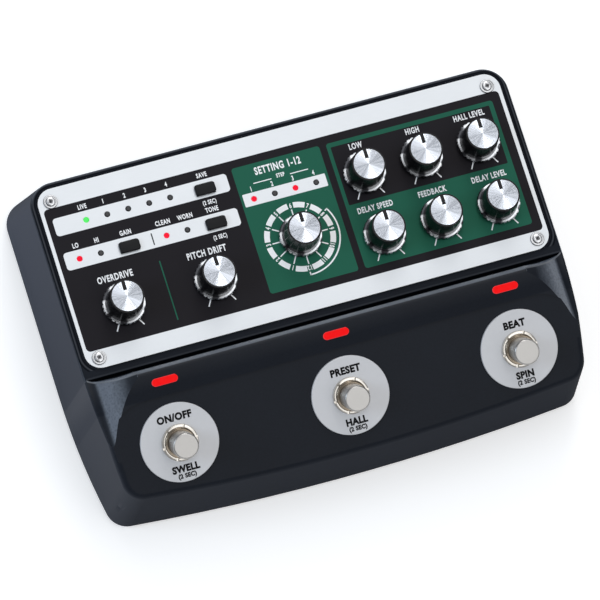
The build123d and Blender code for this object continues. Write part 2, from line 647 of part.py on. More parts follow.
def switch_body():
    """Foot switch: threaded bush through the deck and a box below it."""
    box = block(SWITCH_BODY_SIZE, SWITCH_BODY_SIZE, SWITCH_BOARD_H, -ROOF)
    floor = -PLUNGER_DEPTH - PLUNGER_TRAVEL - PLUNGER_STOP_GAP
    body = box + upright(SWITCH_BUSH_R, -ROOF, SWITCH_BUSH_PROUD)
    return body - upright(PLUNGER_R + PLUNGER_CLEARANCE, floor, SWITCH_BUSH_PROUD)


def switch_plate():
    """Round bright plate under the dress nut."""
    plate = upright(SWITCH_PLATE_R, 0, SWITCH_PLATE_THICK)
    plate = fillet(plate.edges().group_by(Axis.Z)[-1], SWITCH_PLATE_ROUND)
    return plate - upright(SWITCH_BUSH_R + SWITCH_HOLE_CLEARANCE, 0, SWITCH_PLATE_THICK)


def switch_nut():
    """Round dress nut on the foot switch's bush."""
    top = SWITCH_PLATE_THICK + SWITCH_NUT_THICK
    nut = upright(SWITCH_NUT_R, SWITCH_PLATE_THICK, top)
    nut = chamfer(nut.edges().group_by(Axis.Z)[-1], SWITCH_NUT_CHAMFER)
    return nut - upright(SWITCH_BUSH_R + THREAD_CLEARANCE, 0, top)


def plunger():
    """Foot plunger that slides in the bush."""
    bar = upright(PLUNGER_R, -PLUNGER_DEPTH, PLUNGER_PROUD)
    return fillet(bar.edges().group_by(Axis.Z)[-1], PLUNGER_ROUND)


def lens():
    """Red pill lens that fills its slot in the deck, with the lamp bonded under it."""
    pill = extrude(SlotOverall(LENS_LENGTH, LENS_WIDTH), ROOF + DECK_STEP + LENS_PROUD)
    return fillet((Pos(0, 0, -ROOF) * pill).edges().group_by(Axis.Z)[-1], LENS_ROUND)


def phone_jack():
    """6.35 mm jack: body on the main board, bush through the rear wall, blind bore."""
    end = JACK_FACE_Y + JACK_BUSH_PROUD
    body = block(JACK_WIDTH, JACK_LENGTH, -JACK_HEIGHT / 2, JACK_HEIGHT / 2)
    body = Pos(0, CAVITY_REAR_Y - JACK_LENGTH / 2) * body
    body += rearward(JACK_BUSH_R, CAVITY_REAR_Y - JACK_LENGTH / 2, end)
    return body - rearward(JACK_BORE_R, end - JACK_BORE_LENGTH, end)


def jack_nut():
    """Hexagon nut on a jack's bush, seated on the rear field."""
    nut = hex_nut(JACK_NUT_R, JACK_BUSH_R + THREAD_CLEARANCE, JACK_NUT_THICK)
    return Pos(0, JACK_FACE_Y) * Rot(-90, 0, 0) * nut


def mini_jack():
    """3.5 mm jack, with its bush in the rear wall."""
    end = JACK_FACE_Y + MINI_BUSH_PROUD
    body = block(MINI_WIDTH, MINI_LENGTH, -MINI_HEIGHT / 2, MINI_HEIGHT / 2)
    body = Pos(0, CAVITY_REAR_Y - MINI_LENGTH / 2) * body
    body += rearward(MINI_BUSH_R, CAVITY_REAR_Y - MINI_LENGTH / 2, end)
    return body - rearward(MINI_BORE_R, end - MINI_BORE_LENGTH, end)


def dc_inlet():
    """Barrel inlet with its centre pin."""
    end = JACK_FACE_Y + DC_BUSH_PROUD
    body = block(DC_WIDTH, DC_LENGTH, -DC_HEIGHT / 2, DC_HEIGHT / 2)
    body = Pos(0, CAVITY_REAR_Y - DC_LENGTH / 2) * body
    body += rearward(DC_BUSH_R, CAVITY_REAR_Y - DC_LENGTH / 2, end)
    body -= rearward(DC_BORE_R, end - DC_BORE_DEPTH, end)
    return body + rearward(DC_PIN_R, end - DC_BORE_DEPTH, JACK_FACE_Y)


def usb_socket():
    """Flat oval data socket with its tongue."""
    shell = RectangleRounded(USB_WIDTH, USB_HEIGHT, USB_HEIGHT / 2 - USB_SHELL / 2)
    inner_x = USB_WIDTH - 2 * USB_SHELL
    inner_z = USB_HEIGHT - 2 * USB_SHELL
    mouth = RectangleRounded(inner_x, inner_z, inner_z / 2 - USB_SHELL / 2)
    tongue = Rectangle(inner_x - inner_z, USB_TONGUE)
    body = extrude(Plane.XZ * shell, USB_LENGTH) - extrude(Plane.XZ * mouth, USB_DEPTH)
    body += Pos(0, -USB_SHELL) * extrude(Plane.XZ * tongue, USB_LENGTH - USB_SHELL)
    return Pos(0, JACK_FACE_Y) * body


def ribbon(y_low, z_low, y_high, z_high):
    """A bowed flat cable between two boards, across the middle of the case."""
    mid = ((y_low + y_high) / 2 + RIBBON_BOW, (z_low + z_high) / 2)
    front = ThreePointArc((y_low, z_low), mid, (y_high, z_high))
    rear = Pos(RIBBON_THICK, 0) * front
    ends = [Line(front @ 0, rear @ 0), Line(front @ 1, rear @ 1)]
    return extrude(Plane.YZ * make_face([front, rear] + ends), RIBBON_WIDTH / 2, both=True)


# Case, plate and feet
save("top_case", top_case())
save("bottom_plate", bottom_plate())
case_screw = screw(CASE_SCREW_HEAD_R, CASE_SCREW_HEAD_H, CASE_SCREW_R, CASE_SCREW_LENGTH)
save("bottom_screws", *[Pos(x, y, FOOT_HEIGHT) * Rot(180, 0, 0) * case_screw for x, y in BOSSES])
foot = Pos(0, 0, FOOT_HEIGHT) * Rot(180, 0, 0) * Cone(FOOT_R, FOOT_R - FOOT_TAPER, FOOT_HEIGHT, align=BOTTOM)
foot_rows = (CASE_FRONT_Y + FOOT_FRONT_INSET, CASE_REAR_Y - FOOT_REAR_INSET)
feet = [(x, y) for x in (-FOOT_X, FOOT_X) for y in foot_rows]
save("rubber_feet", *[Pos(x, y) * foot for x, y in feet])

# Control panel and what stands on it
plate = extrude(RectangleRounded(PANEL_WIDTH, PANEL_DEPTH, PANEL_CORNER), PANEL_THICK)
plate = Pos(0, PANEL_Y, PANEL_TOP_Z - PANEL_THICK) * plate
save("control_panel", plate - panel_holes(-PANEL_THICK - CUT_OVERRUN, CUT_OVERRUN))
panel_screw = screw(PANEL_SCREW_HEAD_R, PANEL_SCREW_HEAD_H, PANEL_SCREW_R, PANEL_SCREW_LENGTH)
save("panel_screws", *[panel * Pos(u, v) * panel_screw for u, v in PANEL_SCREWS])
for name, (u, v) in KNOBS.items():
    save(f"{name}_knob", panel * Pos(u, v) * knob_body())
    save(f"{name}_knob_trim", *[panel * Pos(u, v) * piece for piece in knob_trim()])
    save(f"{name}_shaft", panel * Pos(u, v) * upright(SHAFT_R, SHAFT_LOW, SHAFT_HIGH))
for name, (u, v) in BUTTONS.items():
    save(f"{name}_button", panel * Pos(u, v) * button())
led = panel_led()
save("led_green_lit", *[panel * Pos(u, v) * led for u, v in GREEN_LEDS])
lamp = Pos(0, LENS_V) * block(LAMP_LENGTH, LAMP_WIDTH, -ROOF - LAMP_HEIGHT, -ROOF)
lamps = [deck * Pos(u, 0) * lamp for u in SWITCH_US]
save("leds_red_lit", *[panel * Pos(u, v) * led for u, v in RED_LEDS], *lamps)
save("leds_dark", *[panel * Pos(u, v) * led for u, v in DARK_LEDS])

# Controls under the panel
pots = [place for name, place in KNOBS.items() if name != "selector"]
save("pot_bodies", *[panel * Pos(u, v) * control_body(POT_WIDTH, POT_DEPTH) for u, v in pots])
save("selector_body", panel * Pos(*KNOBS["selector"]) * control_body(SELECTOR_BODY_SIZE, SELECTOR_BODY_SIZE))
nut = hex_nut(POT_NUT_R, BUSH_R + THREAD_CLEARANCE, POT_NUT_THICK)
save("pot_nuts", *[panel * Pos(u, v) * nut for u, v in KNOBS.values()])
save("tact_switches", *[panel * Pos(u, v) * tact_switch() for u, v in BUTTONS.values()])
board_depth = PANEL_BOARD_REAR_Y - PANEL_BOARD_FRONT_Y
board = block(BOARD_WIDTH, board_depth, PANEL_BOARD_Z - BOARD_THICK, PANEL_BOARD_Z)
save("panel_board", Pos(0, PANEL_BOARD_FRONT_Y + board_depth / 2) * board)

# Foot switches, their board and lenses
save("switch_plates", *[deck * Pos(u, 0) * switch_plate() for u in SWITCH_US])
save("switch_nuts", *[deck * Pos(u, 0) * switch_nut() for u in SWITCH_US])
save("switch_bodies", *[deck * Pos(u, 0) * switch_body() for u in SWITCH_US])
for name, u in zip(("left", "middle", "right"), SWITCH_US):
    save(f"{name}_plunger", deck * Pos(u, 0) * plunger())
save("status_lenses", *[deck * Pos(u, LENS_V) * lens() for u in SWITCH_US])
board_depth = SWITCH_BOARD_HIGH_V - SWITCH_BOARD_LOW_V
board = block(2 * (SWITCH_ROOM_X - SWITCH_ROOM + SWITCH_BOARD_MARGIN), board_depth, SWITCH_BOARD_H - BOARD_THICK, SWITCH_BOARD_H)
save("switch_board", deck * Pos(0, SWITCH_BOARD_LOW_V + board_depth / 2) * board)

# Main board, its posts, sockets and ribbons
main_depth = CAVITY_REAR_Y - PLATE_CLEARANCE - MAIN_BOARD_FRONT_Y
board = block(BOARD_WIDTH, main_depth, MAIN_BOARD_Z, MAIN_BOARD_TOP_Z)
board = Pos(0, MAIN_BOARD_FRONT_Y + main_depth / 2) * board
post_x = BOARD_WIDTH / 2 - POST_INSET
post_rows = (MAIN_BOARD_FRONT_Y + POST_INSET, CAVITY_REAR_Y - POST_REAR_INSET)
posts = [(x, y) for x in (-post_x, 0, post_x) for y in post_rows]
pin_hole = upright(POST_PIN_R + PIN_CLEARANCE, MAIN_BOARD_Z, MAIN_BOARD_TOP_Z)
save("main_board", board - [Pos(x, y) * pin_hole for x, y in posts])
post = upright(POST_R, PLATE_TOP_Z, MAIN_BOARD_Z) + upright(POST_PIN_R, MAIN_BOARD_Z, MAIN_BOARD_TOP_Z + POST_PIN_PROUD)
save("board_posts", *[Pos(x, y) * post for x, y in posts])
save("phone_jacks", *[Pos(x, 0, JACK_AXIS_Z) * phone_jack() for x in JACK_XS])
save("jack_nuts", *[Pos(x, 0, JACK_AXIS_Z) * jack_nut() for x in JACK_XS])
save("mini_jacks", *[Pos(x, 0, MINI_AXIS_Z) * mini_jack() for x in MINI_XS])
save("usb_socket", Pos(USB_X, 0, USB_AXIS_Z) * usb_socket())
save("dc_inlet", Pos(DC_X, 0, DC_AXIS_Z) * dc_inlet())
panel_ribbon_y = PANEL_BOARD_FRONT_Y + PANEL_RIBBON_INSET
switch_ribbon_y = MAIN_BOARD_FRONT_Y + SWITCH_RIBBON_INSET
switch_ribbon_z = deck_height(switch_ribbon_y, SWITCH_BOARD_H - BOARD_THICK) - RIBBON_GAP
panel_ribbon = ribbon(panel_ribbon_y, MAIN_BOARD_TOP_Z, panel_ribbon_y, PANEL_BOARD_Z - BOARD_THICK)
switch_ribbon = ribbon(switch_ribbon_y, MAIN_BOARD_TOP_Z, switch_ribbon_y, switch_ribbon_z)
save("ribbon_cables", panel_ribbon, switch_ribbon)
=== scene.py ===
"""Looks of the tape echo pedal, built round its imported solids, in metres."""

from __future__ import annotations

import json
import logging
import math
from dataclasses import dataclass, field
from enum import Enum
from typing import Any, Iterable, Mapping

import bmesh
import bpy
from mathutils import Matrix, Vector
from mathutils.bvhtree import BVHTree

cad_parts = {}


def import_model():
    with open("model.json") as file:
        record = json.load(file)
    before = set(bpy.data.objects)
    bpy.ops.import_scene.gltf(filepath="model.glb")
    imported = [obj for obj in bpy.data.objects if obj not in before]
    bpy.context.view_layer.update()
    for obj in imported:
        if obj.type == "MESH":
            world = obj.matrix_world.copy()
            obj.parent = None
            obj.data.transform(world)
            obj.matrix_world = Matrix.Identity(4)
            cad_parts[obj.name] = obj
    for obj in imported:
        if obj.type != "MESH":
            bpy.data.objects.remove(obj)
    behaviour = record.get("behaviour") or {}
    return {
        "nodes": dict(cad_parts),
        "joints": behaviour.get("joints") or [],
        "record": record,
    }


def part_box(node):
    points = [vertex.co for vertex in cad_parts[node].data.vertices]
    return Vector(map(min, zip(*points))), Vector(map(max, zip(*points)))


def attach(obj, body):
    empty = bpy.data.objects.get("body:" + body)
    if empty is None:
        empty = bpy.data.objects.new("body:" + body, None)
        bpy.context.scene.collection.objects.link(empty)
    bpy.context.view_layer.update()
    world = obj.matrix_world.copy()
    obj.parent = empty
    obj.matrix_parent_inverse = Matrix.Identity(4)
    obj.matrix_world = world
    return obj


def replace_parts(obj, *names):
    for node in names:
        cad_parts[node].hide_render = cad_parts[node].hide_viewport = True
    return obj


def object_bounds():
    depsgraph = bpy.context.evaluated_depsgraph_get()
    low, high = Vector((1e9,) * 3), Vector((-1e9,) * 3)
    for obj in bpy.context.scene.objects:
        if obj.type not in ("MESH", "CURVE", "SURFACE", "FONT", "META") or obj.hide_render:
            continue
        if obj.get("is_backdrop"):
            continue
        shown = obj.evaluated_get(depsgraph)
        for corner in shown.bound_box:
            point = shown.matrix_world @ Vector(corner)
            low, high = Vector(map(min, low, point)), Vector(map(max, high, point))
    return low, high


log = logging.getLogger("tape_echo_pedal")

MM = 0.001
CASE = "case"
FULL_TURN = 2 * math.pi
WELD_MM = 0.001
SHARP_DEGREES = 35
SWEEP_STEP = math.radians(3)
SWEEP_LEAST = 3
Colour = tuple[float, float, float, float]


def tint(red: int, green: int, blue: int) -> Colour:
    """Turns a display colour of 0 to 255 into the linear colour of a shader.

    Args:
        red: Red level.
        green: Green level.
        blue: Blue level.

    Returns:
        Linear red, green, blue and a full alpha.
    """

    def linear(level: int) -> float:
        """One channel, out of the display curve."""
        share = level / 255
        return share / 12.92 if share <= 0.04045 else ((share + 0.055) / 1.055) ** 2.4

    return linear(red), linear(green), linear(blue), 1.0


def scaled(colour: Colour, share: float) -> Colour:
    """A colour made darker or brighter."""
    red, green, blue, _ = colour
    return red * share, green * share, blue * share, 1.0


class Op(Enum):
    """What a Math or Vector Math node does."""

    ADD = "ADD"
    SUBTRACT = "SUBTRACT"
    MULTIPLY = "MULTIPLY"
    DIVIDE = "DIVIDE"
    ABSOLUTE = "ABSOLUTE"
    MAXIMUM = "MAXIMUM"
    MINIMUM = "MINIMUM"
    SQRT = "SQRT"
    SINE = "SINE"
    GREATER_THAN = "GREATER_THAN"
    LESS_THAN = "LESS_THAN"
    SCALE = "SCALE"
    NORMALIZE = "NORMALIZE"


class Value:
    """A number that varies over a surface: Python operators on it add Math nodes."""

    def __init__(self, shade: Shade, socket: bpy.types.NodeSocket) -> None:
        """Wraps an output socket of the given shade."""
        self.shade = shade
        self.socket = socket

    def __add__(self, other: Number) -> Value:
        """Sum."""
        return self.shade.math(Op.ADD, self, other)

    def __radd__(self, other: Number) -> Value:
        """Sum, other first."""
        return self.shade.math(Op.ADD, other, self)

    def __sub__(self, other: Number) -> Value:
        """Difference."""
        return self.shade.math(Op.SUBTRACT, self, other)

    def __rsub__(self, other: Number) -> Value:
        """Difference, other first."""
        return self.shade.math(Op.SUBTRACT, other, self)

    def __mul__(self, other: Number) -> Value:
        """Product."""
        return self.shade.math(Op.MULTIPLY, self, other)

    def __rmul__(self, other: Number) -> Value:
        """Product, other first."""
        return self.shade.math(Op.MULTIPLY, other, self)

    def __truediv__(self, other: Number) -> Value:
        """Quotient."""
        return self.shade.math(Op.DIVIDE, self, other)

    def __abs__(self) -> Value:
        """Size without sign."""
        return self.shade.math(Op.ABSOLUTE, self)

    def at_least(self, other: Number) -> Value:
        """The larger of the two."""
        return self.shade.math(Op.MAXIMUM, self, other)

    def at_most(self, other: Number) -> Value:
        """The smaller of the two."""
        return self.shade.math(Op.MINIMUM, self, other)

    def above(self, other: Number) -> Value:
        """1 where it is larger than the other, or else 0."""
        return self.shade.math(Op.GREATER_THAN, self, other)

    def below(self, other: Number) -> Value:
        """1 where it is smaller than the other, or else 0."""
        return self.shade.math(Op.LESS_THAN, self, other)

    def root(self) -> Value:
        """Square root."""
        return self.shade.math(Op.SQRT, self)

    def clamped(self) -> Value:
        """Held between 0 and 1."""
        return self.at_least(0.0).at_most(1.0)


Number = Value | float


class Shade:
    """A node material under construction, with one Principled surface."""

    def __init__(self, name: str) -> None:
        """Starts an empty material.

        Args:
            name: Name of the material.
        """
        self.material = bpy.data.materials.new(name)
        self.material.use_nodes = True
        self.tree = self.material.node_tree
        self.tree.nodes.clear()
        self.surface = self.node("ShaderNodeBsdfPrincipled")
        out = self.node("ShaderNodeOutputMaterial")
        self.tree.links.new(self.surface.outputs["BSDF"], out.inputs["Surface"])

    def node(
        self,
        kind: str,
        settings: Mapping[str, Any] | None = None,
        inputs: Mapping[str | int, Any] | None = None,
    ) -> bpy.types.Node:
        """Adds a node of any type.

        Args:
            kind: Blender's name of the node type.
            settings: Properties, set before the sockets. The key stops gives a ramp's stops.
            inputs: Values or links of its sockets, by name or number.

        Returns:
            The new node.
        """
        made = self.tree.nodes.new(kind)
        for key, value in (settings or {}).items():
            if key == "stops":
                self._ramp(made, value)
            else:
                setattr(made, key, value)
        for key, value in (inputs or {}).items():
            self.feed(made, key, value)
        return made

    def _ramp(self, ramp: bpy.types.Node, stops: Iterable[tuple[float, tuple[float, ...]]]) -> None:
        """Sets a colour ramp's stops.

        Args:
            ramp: The ramp node.
            stops: Place and colour of each stop.
        """
        for i, (place, colour) in enumerate(stops):
            stop = ramp.color_ramp.elements[i] if i < 2 else ramp.color_ramp.elements.new(place)
            stop.position = place
            stop.color = colour

    def feed(self, node: bpy.types.Node, key: str | int, value: Any) -> None:
        """Gives a socket a link or a plain value.

        Args:
            node: The node.
            key: The socket's name or number.
            value: A Value, a socket or a plain value.
        """
        source = value.socket if isinstance(value, Value) else value
        if isinstance(source, bpy.types.NodeSocket):
            self.tree.links.new(source, node.inputs[key])
        else:
            node.inputs[key].default_value = source

    def math(self, operation: Op, *terms: Number) -> Value:
        """Adds one Math node."""
        made = self.node("ShaderNodeMath", {"operation": operation.value}, dict(enumerate(terms)))
        return Value(self, made.outputs[0])

    def vector(self, operation: Op, inputs: Mapping[str | int, Any]) -> bpy.types.NodeSocket:
        """Adds one Vector Math node."""
        return self.node("ShaderNodeVectorMath", {"operation": operation.value}, inputs).outputs[0]

    def set(self, **sockets: Any) -> None:
        """Feeds the surface: base_color stands for Base Color, and so on."""
        for key, value in sockets.items():
            self.feed(self.surface, key.replace("_", " ").title().replace("Ior", "IOR"), value)

    def place(self, centre: Vector = Vector()) -> bpy.types.NodeSocket:
        """Object coordinates in millimetres.

        Args:
            centre: Point in metres that becomes zero.

        Returns:
            The vector's socket.
        """
        coords = self.node("ShaderNodeTexCoord")
        scale = 1 / MM
        inputs = {"Vector": coords.outputs["Object"], "Location": -centre * scale, "Scale": (scale,) * 3}
        return self.node("ShaderNodeMapping", None, inputs).outputs["Vector"]

    def axes(self, vector: bpy.types.NodeSocket) -> tuple[Value, Value, Value]:
        """Splits a vector into its three numbers."""
        parts = self.node("ShaderNodeSeparateXYZ", None, {"Vector": vector})
        return tuple(Value(self, out) for out in parts.outputs)

    def noise(self, vector: bpy.types.NodeSocket, size_mm: float, detail: float = 2.0) -> Value:
        """Soft noise from 0 to 1.

        Args:
            vector: Place in millimetres.
            size_mm: Size of its lumps.
            detail: Octaves.

        Returns:
            The noise.
        """
        inputs = {"Vector": vector, "Scale": 1 / size_mm, "Detail": detail}
        return Value(self, self.node("ShaderNodeTexNoise", None, inputs).outputs[0])

    def mix(self, share: Number, first: Any, second: Any) -> bpy.types.NodeSocket:
        """Mixes two colours.

        Args:
            share: 0 gives the first, 1 the second.
            first: A colour or its socket.
            second: A colour or its socket.

        Returns:
            The mixed colour's socket.
        """
        made = self.node("ShaderNodeMix", {"data_type": "RGBA"}, {0: share, 6: first, 7: second})
        return made.outputs[2]

    def curve(self, value: Value, *stops: tuple[float, float]) -> Value:
        """Turns a number into another one along a broken line.

        Args:
            value: The number, from 0 to 1.
            stops: Each corner of the line: the number and what it becomes.

        Returns:
            The new number.
        """
        greys = [(place, (level, level, level, 1.0)) for place, level in stops]
        ramp = self.node("ShaderNodeValToRGB", {"stops": greys}, {"Fac": value})
        return Value(self, ramp.outputs["Color"])

    def facing(self) -> tuple[Value, Value, Value]:
        """The surface's direction along X, Y and Z."""
        return self.axes(self.node("ShaderNodeNewGeometry").outputs["Normal"])

    def bump(self, height: Number, depth_mm: float) -> None:
        """Gives the surface a relief.

        Args:
            height: Height from 0 to 1.
            depth_mm: What 1 stands for.
        """
        inputs = {"Height": height, "Distance": depth_mm * MM}
        self.set(normal=self.node("ShaderNodeBump", None, inputs).outputs["Normal"])


@dataclass(frozen=True)
class Moulded:
    """A plain finish: one colour with a soft mottle and a fine grain."""

    name: str
    colour: Colour
    roughness: float = 0.45
    metallic: float = 0.0
    mottle_share: float = 0.12
    mottle_mm: float = 9.0
    mottle_rough: float = 0.12
    grain_mm: float = 0.35
    grain_depth_mm: float = 0.02
    grain_rough: float = 0.1
    specular: float = 0.5

    def build(self) -> bpy.types.Material:
        """Makes the material."""
        shade = Shade(self.name)
        place = shade.place()
        cloud = shade.noise(place, self.mottle_mm, 3.0)
        grain = shade.noise(place, self.grain_mm, 2.0)
        dark = scaled(self.colour, 1 - self.mottle_share)
        shade.set(base_color=shade.mix(cloud, dark, self.colour), metallic=self.metallic)
        shade.set(specular_ior_level=self.specular)
        uneven = self.roughness + (cloud - 0.5) * self.mottle_rough
        shade.set(roughness=uneven + (grain - 0.5) * self.grain_rough)
        shade.bump(grain, self.grain_depth_mm)
        return shade.material


@dataclass(frozen=True)
class Field:
    """A rounded oblong on a flat surface, in millimetres."""

    left: float
    right: float
    front: float
    rear: float
    corner: float = 1.0

    def away(self, x: Value, y: Value) -> Value:
        """How far a place is outside the oblong, below 0 inside it.

        Args:
            x: Place along the surface.
            y: Place across the surface.

        Returns:
            The distance.
        """
        over_x = abs(x - (self.left + self.right) / 2) - ((self.right - self.left) / 2 - self.corner)
        over_y = abs(y - (self.front + self.rear) / 2) - ((self.rear - self.front) / 2 - self.corner)
        past_x, past_y = over_x.at_least(0.0), over_y.at_least(0.0)
        reach = (past_x * past_x + past_y * past_y).root()
        return reach + over_x.at_least(over_y).at_most(0.0) - self.corner

    def mask(self, x: Value, y: Value, soft_mm: float = 0.06) -> Value:
        """1 inside the oblong and 0 outside.

        Args:
            x: Place along the surface.
            y: Place across the surface.
            soft_mm: Width of its soft edge.

        Returns:
            The mask.
        """
        return (0.5 - self.away(x, y) / soft_mm).clamped()


def any_field(fields: Iterable[Field], x: Value, y: Value) -> Value:
    """Mask of several fields that stand apart."""
    first, *others = [area.mask(x, y) for area in fields]
    return sum(others, first)


@dataclass(frozen=True)
class Lip:
    """Line of the ridge's lip, in millimetres: straight, then bent to the rear in an arc at both ends."""

    y: float = -18.9
    bend_x: float = 77.6
    arc_r: float = 25.9


@dataclass(frozen=True)
class CasePaint:
    """Dark paint on the cast case: a fine pebble, matt on the walls, with painted highlights on edges and
    scoops, painted light on the side walls and painted shade round the panel.
    """

    panel: Field
    lip: Lip
    name: str = "case_paint"
    colour: Colour = tint(20, 23, 29)
    high: Colour = tint(29, 34, 43)
    # Painted highlight colour of sloped faces and the ridge's scooped ends.
    rubbed: Colour = tint(94, 102, 114)
    # Painted highlight colour of the lines along the lip, the console's front edge and the rail round the
    # panel.
    line: Colour = tint(108, 112, 118)
    # Painted light: paler, bluer colour of the left and front walls.
    faded: Colour = tint(74, 82, 100)
    # Painted shade colour of the shadow round the panel and of the shaded line beside the rail.
    dark: Colour = tint(4, 4, 6)
    roughness: float = 0.62
    cloud_rough: float = 0.1
    fine_rough: float = 0.12
    gloss_roughness: float = 0.4
    pebble_mm: float = 0.8
    pebble_depth_mm: float = 0.08
    pebble_share: float = 0.7
    fine_share: float = 0.3
    cloud_mm: float = 22.0
    mottle_share: float = 0.4
    gloss: tuple[tuple[float, float], ...] = ((0.0, 0.1), (0.3, 0.14), (0.9, 0.25), (0.985, 0.28))
    slope: tuple[tuple[float, float], ...] = ((0.0, 0.0), (0.25, 0.0), (0.45, 1.0), (0.74, 1.0), (0.92, 0.0))
    left_sheen: float = 0.2
    left_fade: float = 0.36
    left_fade_per_mm: float = 0.003
    front_fade: float = 0.1
    rub: float = 0.45
    rub_relief: float = 1.1
    rub_gloss: float = 0.4
    console_top: float = 45.0
    groove_y: float = -14.9
    lip_end_x: float = 91.6
    lip_width: float = 0.5
    edge_width: float = 0.4
    edge_share: float = 0.15
    line_share: float = 0.7
    line_crisp: float = 1.6
    line_depth: float = 1.0
    level: float = 0.2
    level_crisp: float = 5.0
    ridge_crisp: float = 8.0
    step_y: float = -29.3
    step_crisp: float = 2.0
    rear_dim: float = 0.5
    crest_mm: float = 7.0
    panel_shadow_mm: float = 3.4
    shadow_share: float = 0.9
    rail_mm: float = 1.75
    rail_width: float = 0.35
    rail_share: float = 0.35
    rail_depth: float = 2.0
    gap_share: float = 0.8

    def build(self) -> bpy.types.Material:
        """Makes the material."""
        shade = Shade(self.name)
        place = shade.place()
        inputs = {"Vector": place, "Scale": 1 / self.pebble_mm}
        cells = shade.node("ShaderNodeTexVoronoi", {"feature": "SMOOTH_F1"}, inputs)
        pebble = Value(shade, cells.outputs["Distance"])
        fine = shade.noise(place, self.pebble_mm / 3, 2.0)
        cloud = shade.noise(place, self.cloud_mm, 3.0)
        relief = (pebble * self.pebble_share + fine * self.fine_share).clamped()
        x, y, z = shade.facing()
        left, front, up = (0 - x).clamped(), (0 - y).clamped(), z.clamped()
        px, py, pz = shade.axes(place)
        console = ((py - self.groove_y) * self.step_crisp + 1).clamped()
        scoop, edges = self.wear((px, py, pz), z, console)
        slope = shade.curve(up, *self.slope) * scoop * (1 - console * left)
        mottle = (cloud * self.mottle_share + relief * self.mottle_share).clamped()
        paint = shade.mix(mottle, self.colour, self.high)
        # Painted light on the walls: left-facing ones paler towards the rear, front-facing ones a little.
        faded = (left * (py * self.left_fade_per_mm + self.left_fade) + front * self.front_fade) * (1 - up)
        paint = shade.mix(faded.clamped(), paint, self.faded)
        # Painted highlight on sloped faces and the ridge's scooped ends, broken up by the pebble.
        paint = shade.mix((slope * (self.rub + relief * self.rub_relief)).clamped(), paint, self.rubbed)
        # Painted shadow round the panel, and a painted shaded line outside the rail on the console's sides
        # and rear.
        shadow = self.panel.mask(px, py, self.panel_shadow_mm) * console
        beside = console * py.above(self.panel.front) * (pz - (self.console_top - self.rail_depth)).clamped()
        rail = abs(self.panel.away(px, py) - self.rail_mm) / self.rail_width
        edge_shade = (1 - abs(rail - 2)).clamped() * beside
        paint = shade.mix((shadow * self.shadow_share).at_least(edge_shade * self.gap_share), paint, self.dark)
        # Painted highlight along the rail round the panel, joined to the painted lines along the groove.
        edges = edges.at_least((1 - rail).clamped() * beside * self.rail_share)
        shade.set(base_color=shade.mix(edges * self.line_share, paint, self.line), specular_ior_level=0.0)
        uneven = self.roughness + (cloud - 0.5) * self.cloud_rough
        shade.set(roughness=uneven + (fine - 0.5) * self.fine_rough)
        rear = ((py - self.step_y) * self.step_crisp).clamped()
        crest = ((py - self.lip.y) / self.crest_mm + 1).clamped() * (1 - console)
        sheen = shade.curve(up, *self.gloss) * (1 - rear * self.rear_dim + crest) * (1 - shadow.at_least(edge_shade))
        sheen = sheen + slope * (self.rub_gloss + relief) + left * (1 - up) * self.left_sheen
        shade.set(coat_weight=sheen.at_least(edges).clamped(), coat_roughness=self.gloss_roughness)
        shade.bump(relief, self.pebble_depth_mm)
        return shade.material

    def lip_drop(self, px: Value) -> Value:
        """How far the lip bends to the rear at a place along X."""
        away = (abs(px) - self.lip.bend_x).at_least(0.0).at_most(self.lip.arc_r - 1)
        return self.lip.arc_r - (self.lip.arc_r**2 - away * away).root()

    def wear(self, place: tuple[Value, Value, Value], z: Value, console: Value) -> tuple[Value, Value]:
        """Masks of where highlights are painted.

        Args:
            place: Place in millimetres.
            z: How far the surface looks up.
            console: Mask of the console.

        Returns:
            The console with the ridge's scooped ends, and the two painted highlight lines along the groove.
        """
        px, py, pz = place
        scoop = ((pz - self.console_top) * self.ridge_crisp).clamped().at_least(console)
        lip = 1 - abs(py - self.lip_drop(px) - (self.lip.y - self.lip_width / 2)) / self.lip_width
        edge = 1 - abs(py - (self.groove_y + self.edge_width)) / self.edge_width
        faint = (edge * self.line_crisp).clamped() * self.edge_share
        lines = (lip * self.line_crisp).clamped().at_least(faint)
        inside = abs(px).below(self.lip_end_x)
        level = ((z - self.level) * self.level_crisp).clamped()
        tops = level * (pz - (self.console_top - self.line_depth)).clamped()
        return scoop, lines * inside * tops


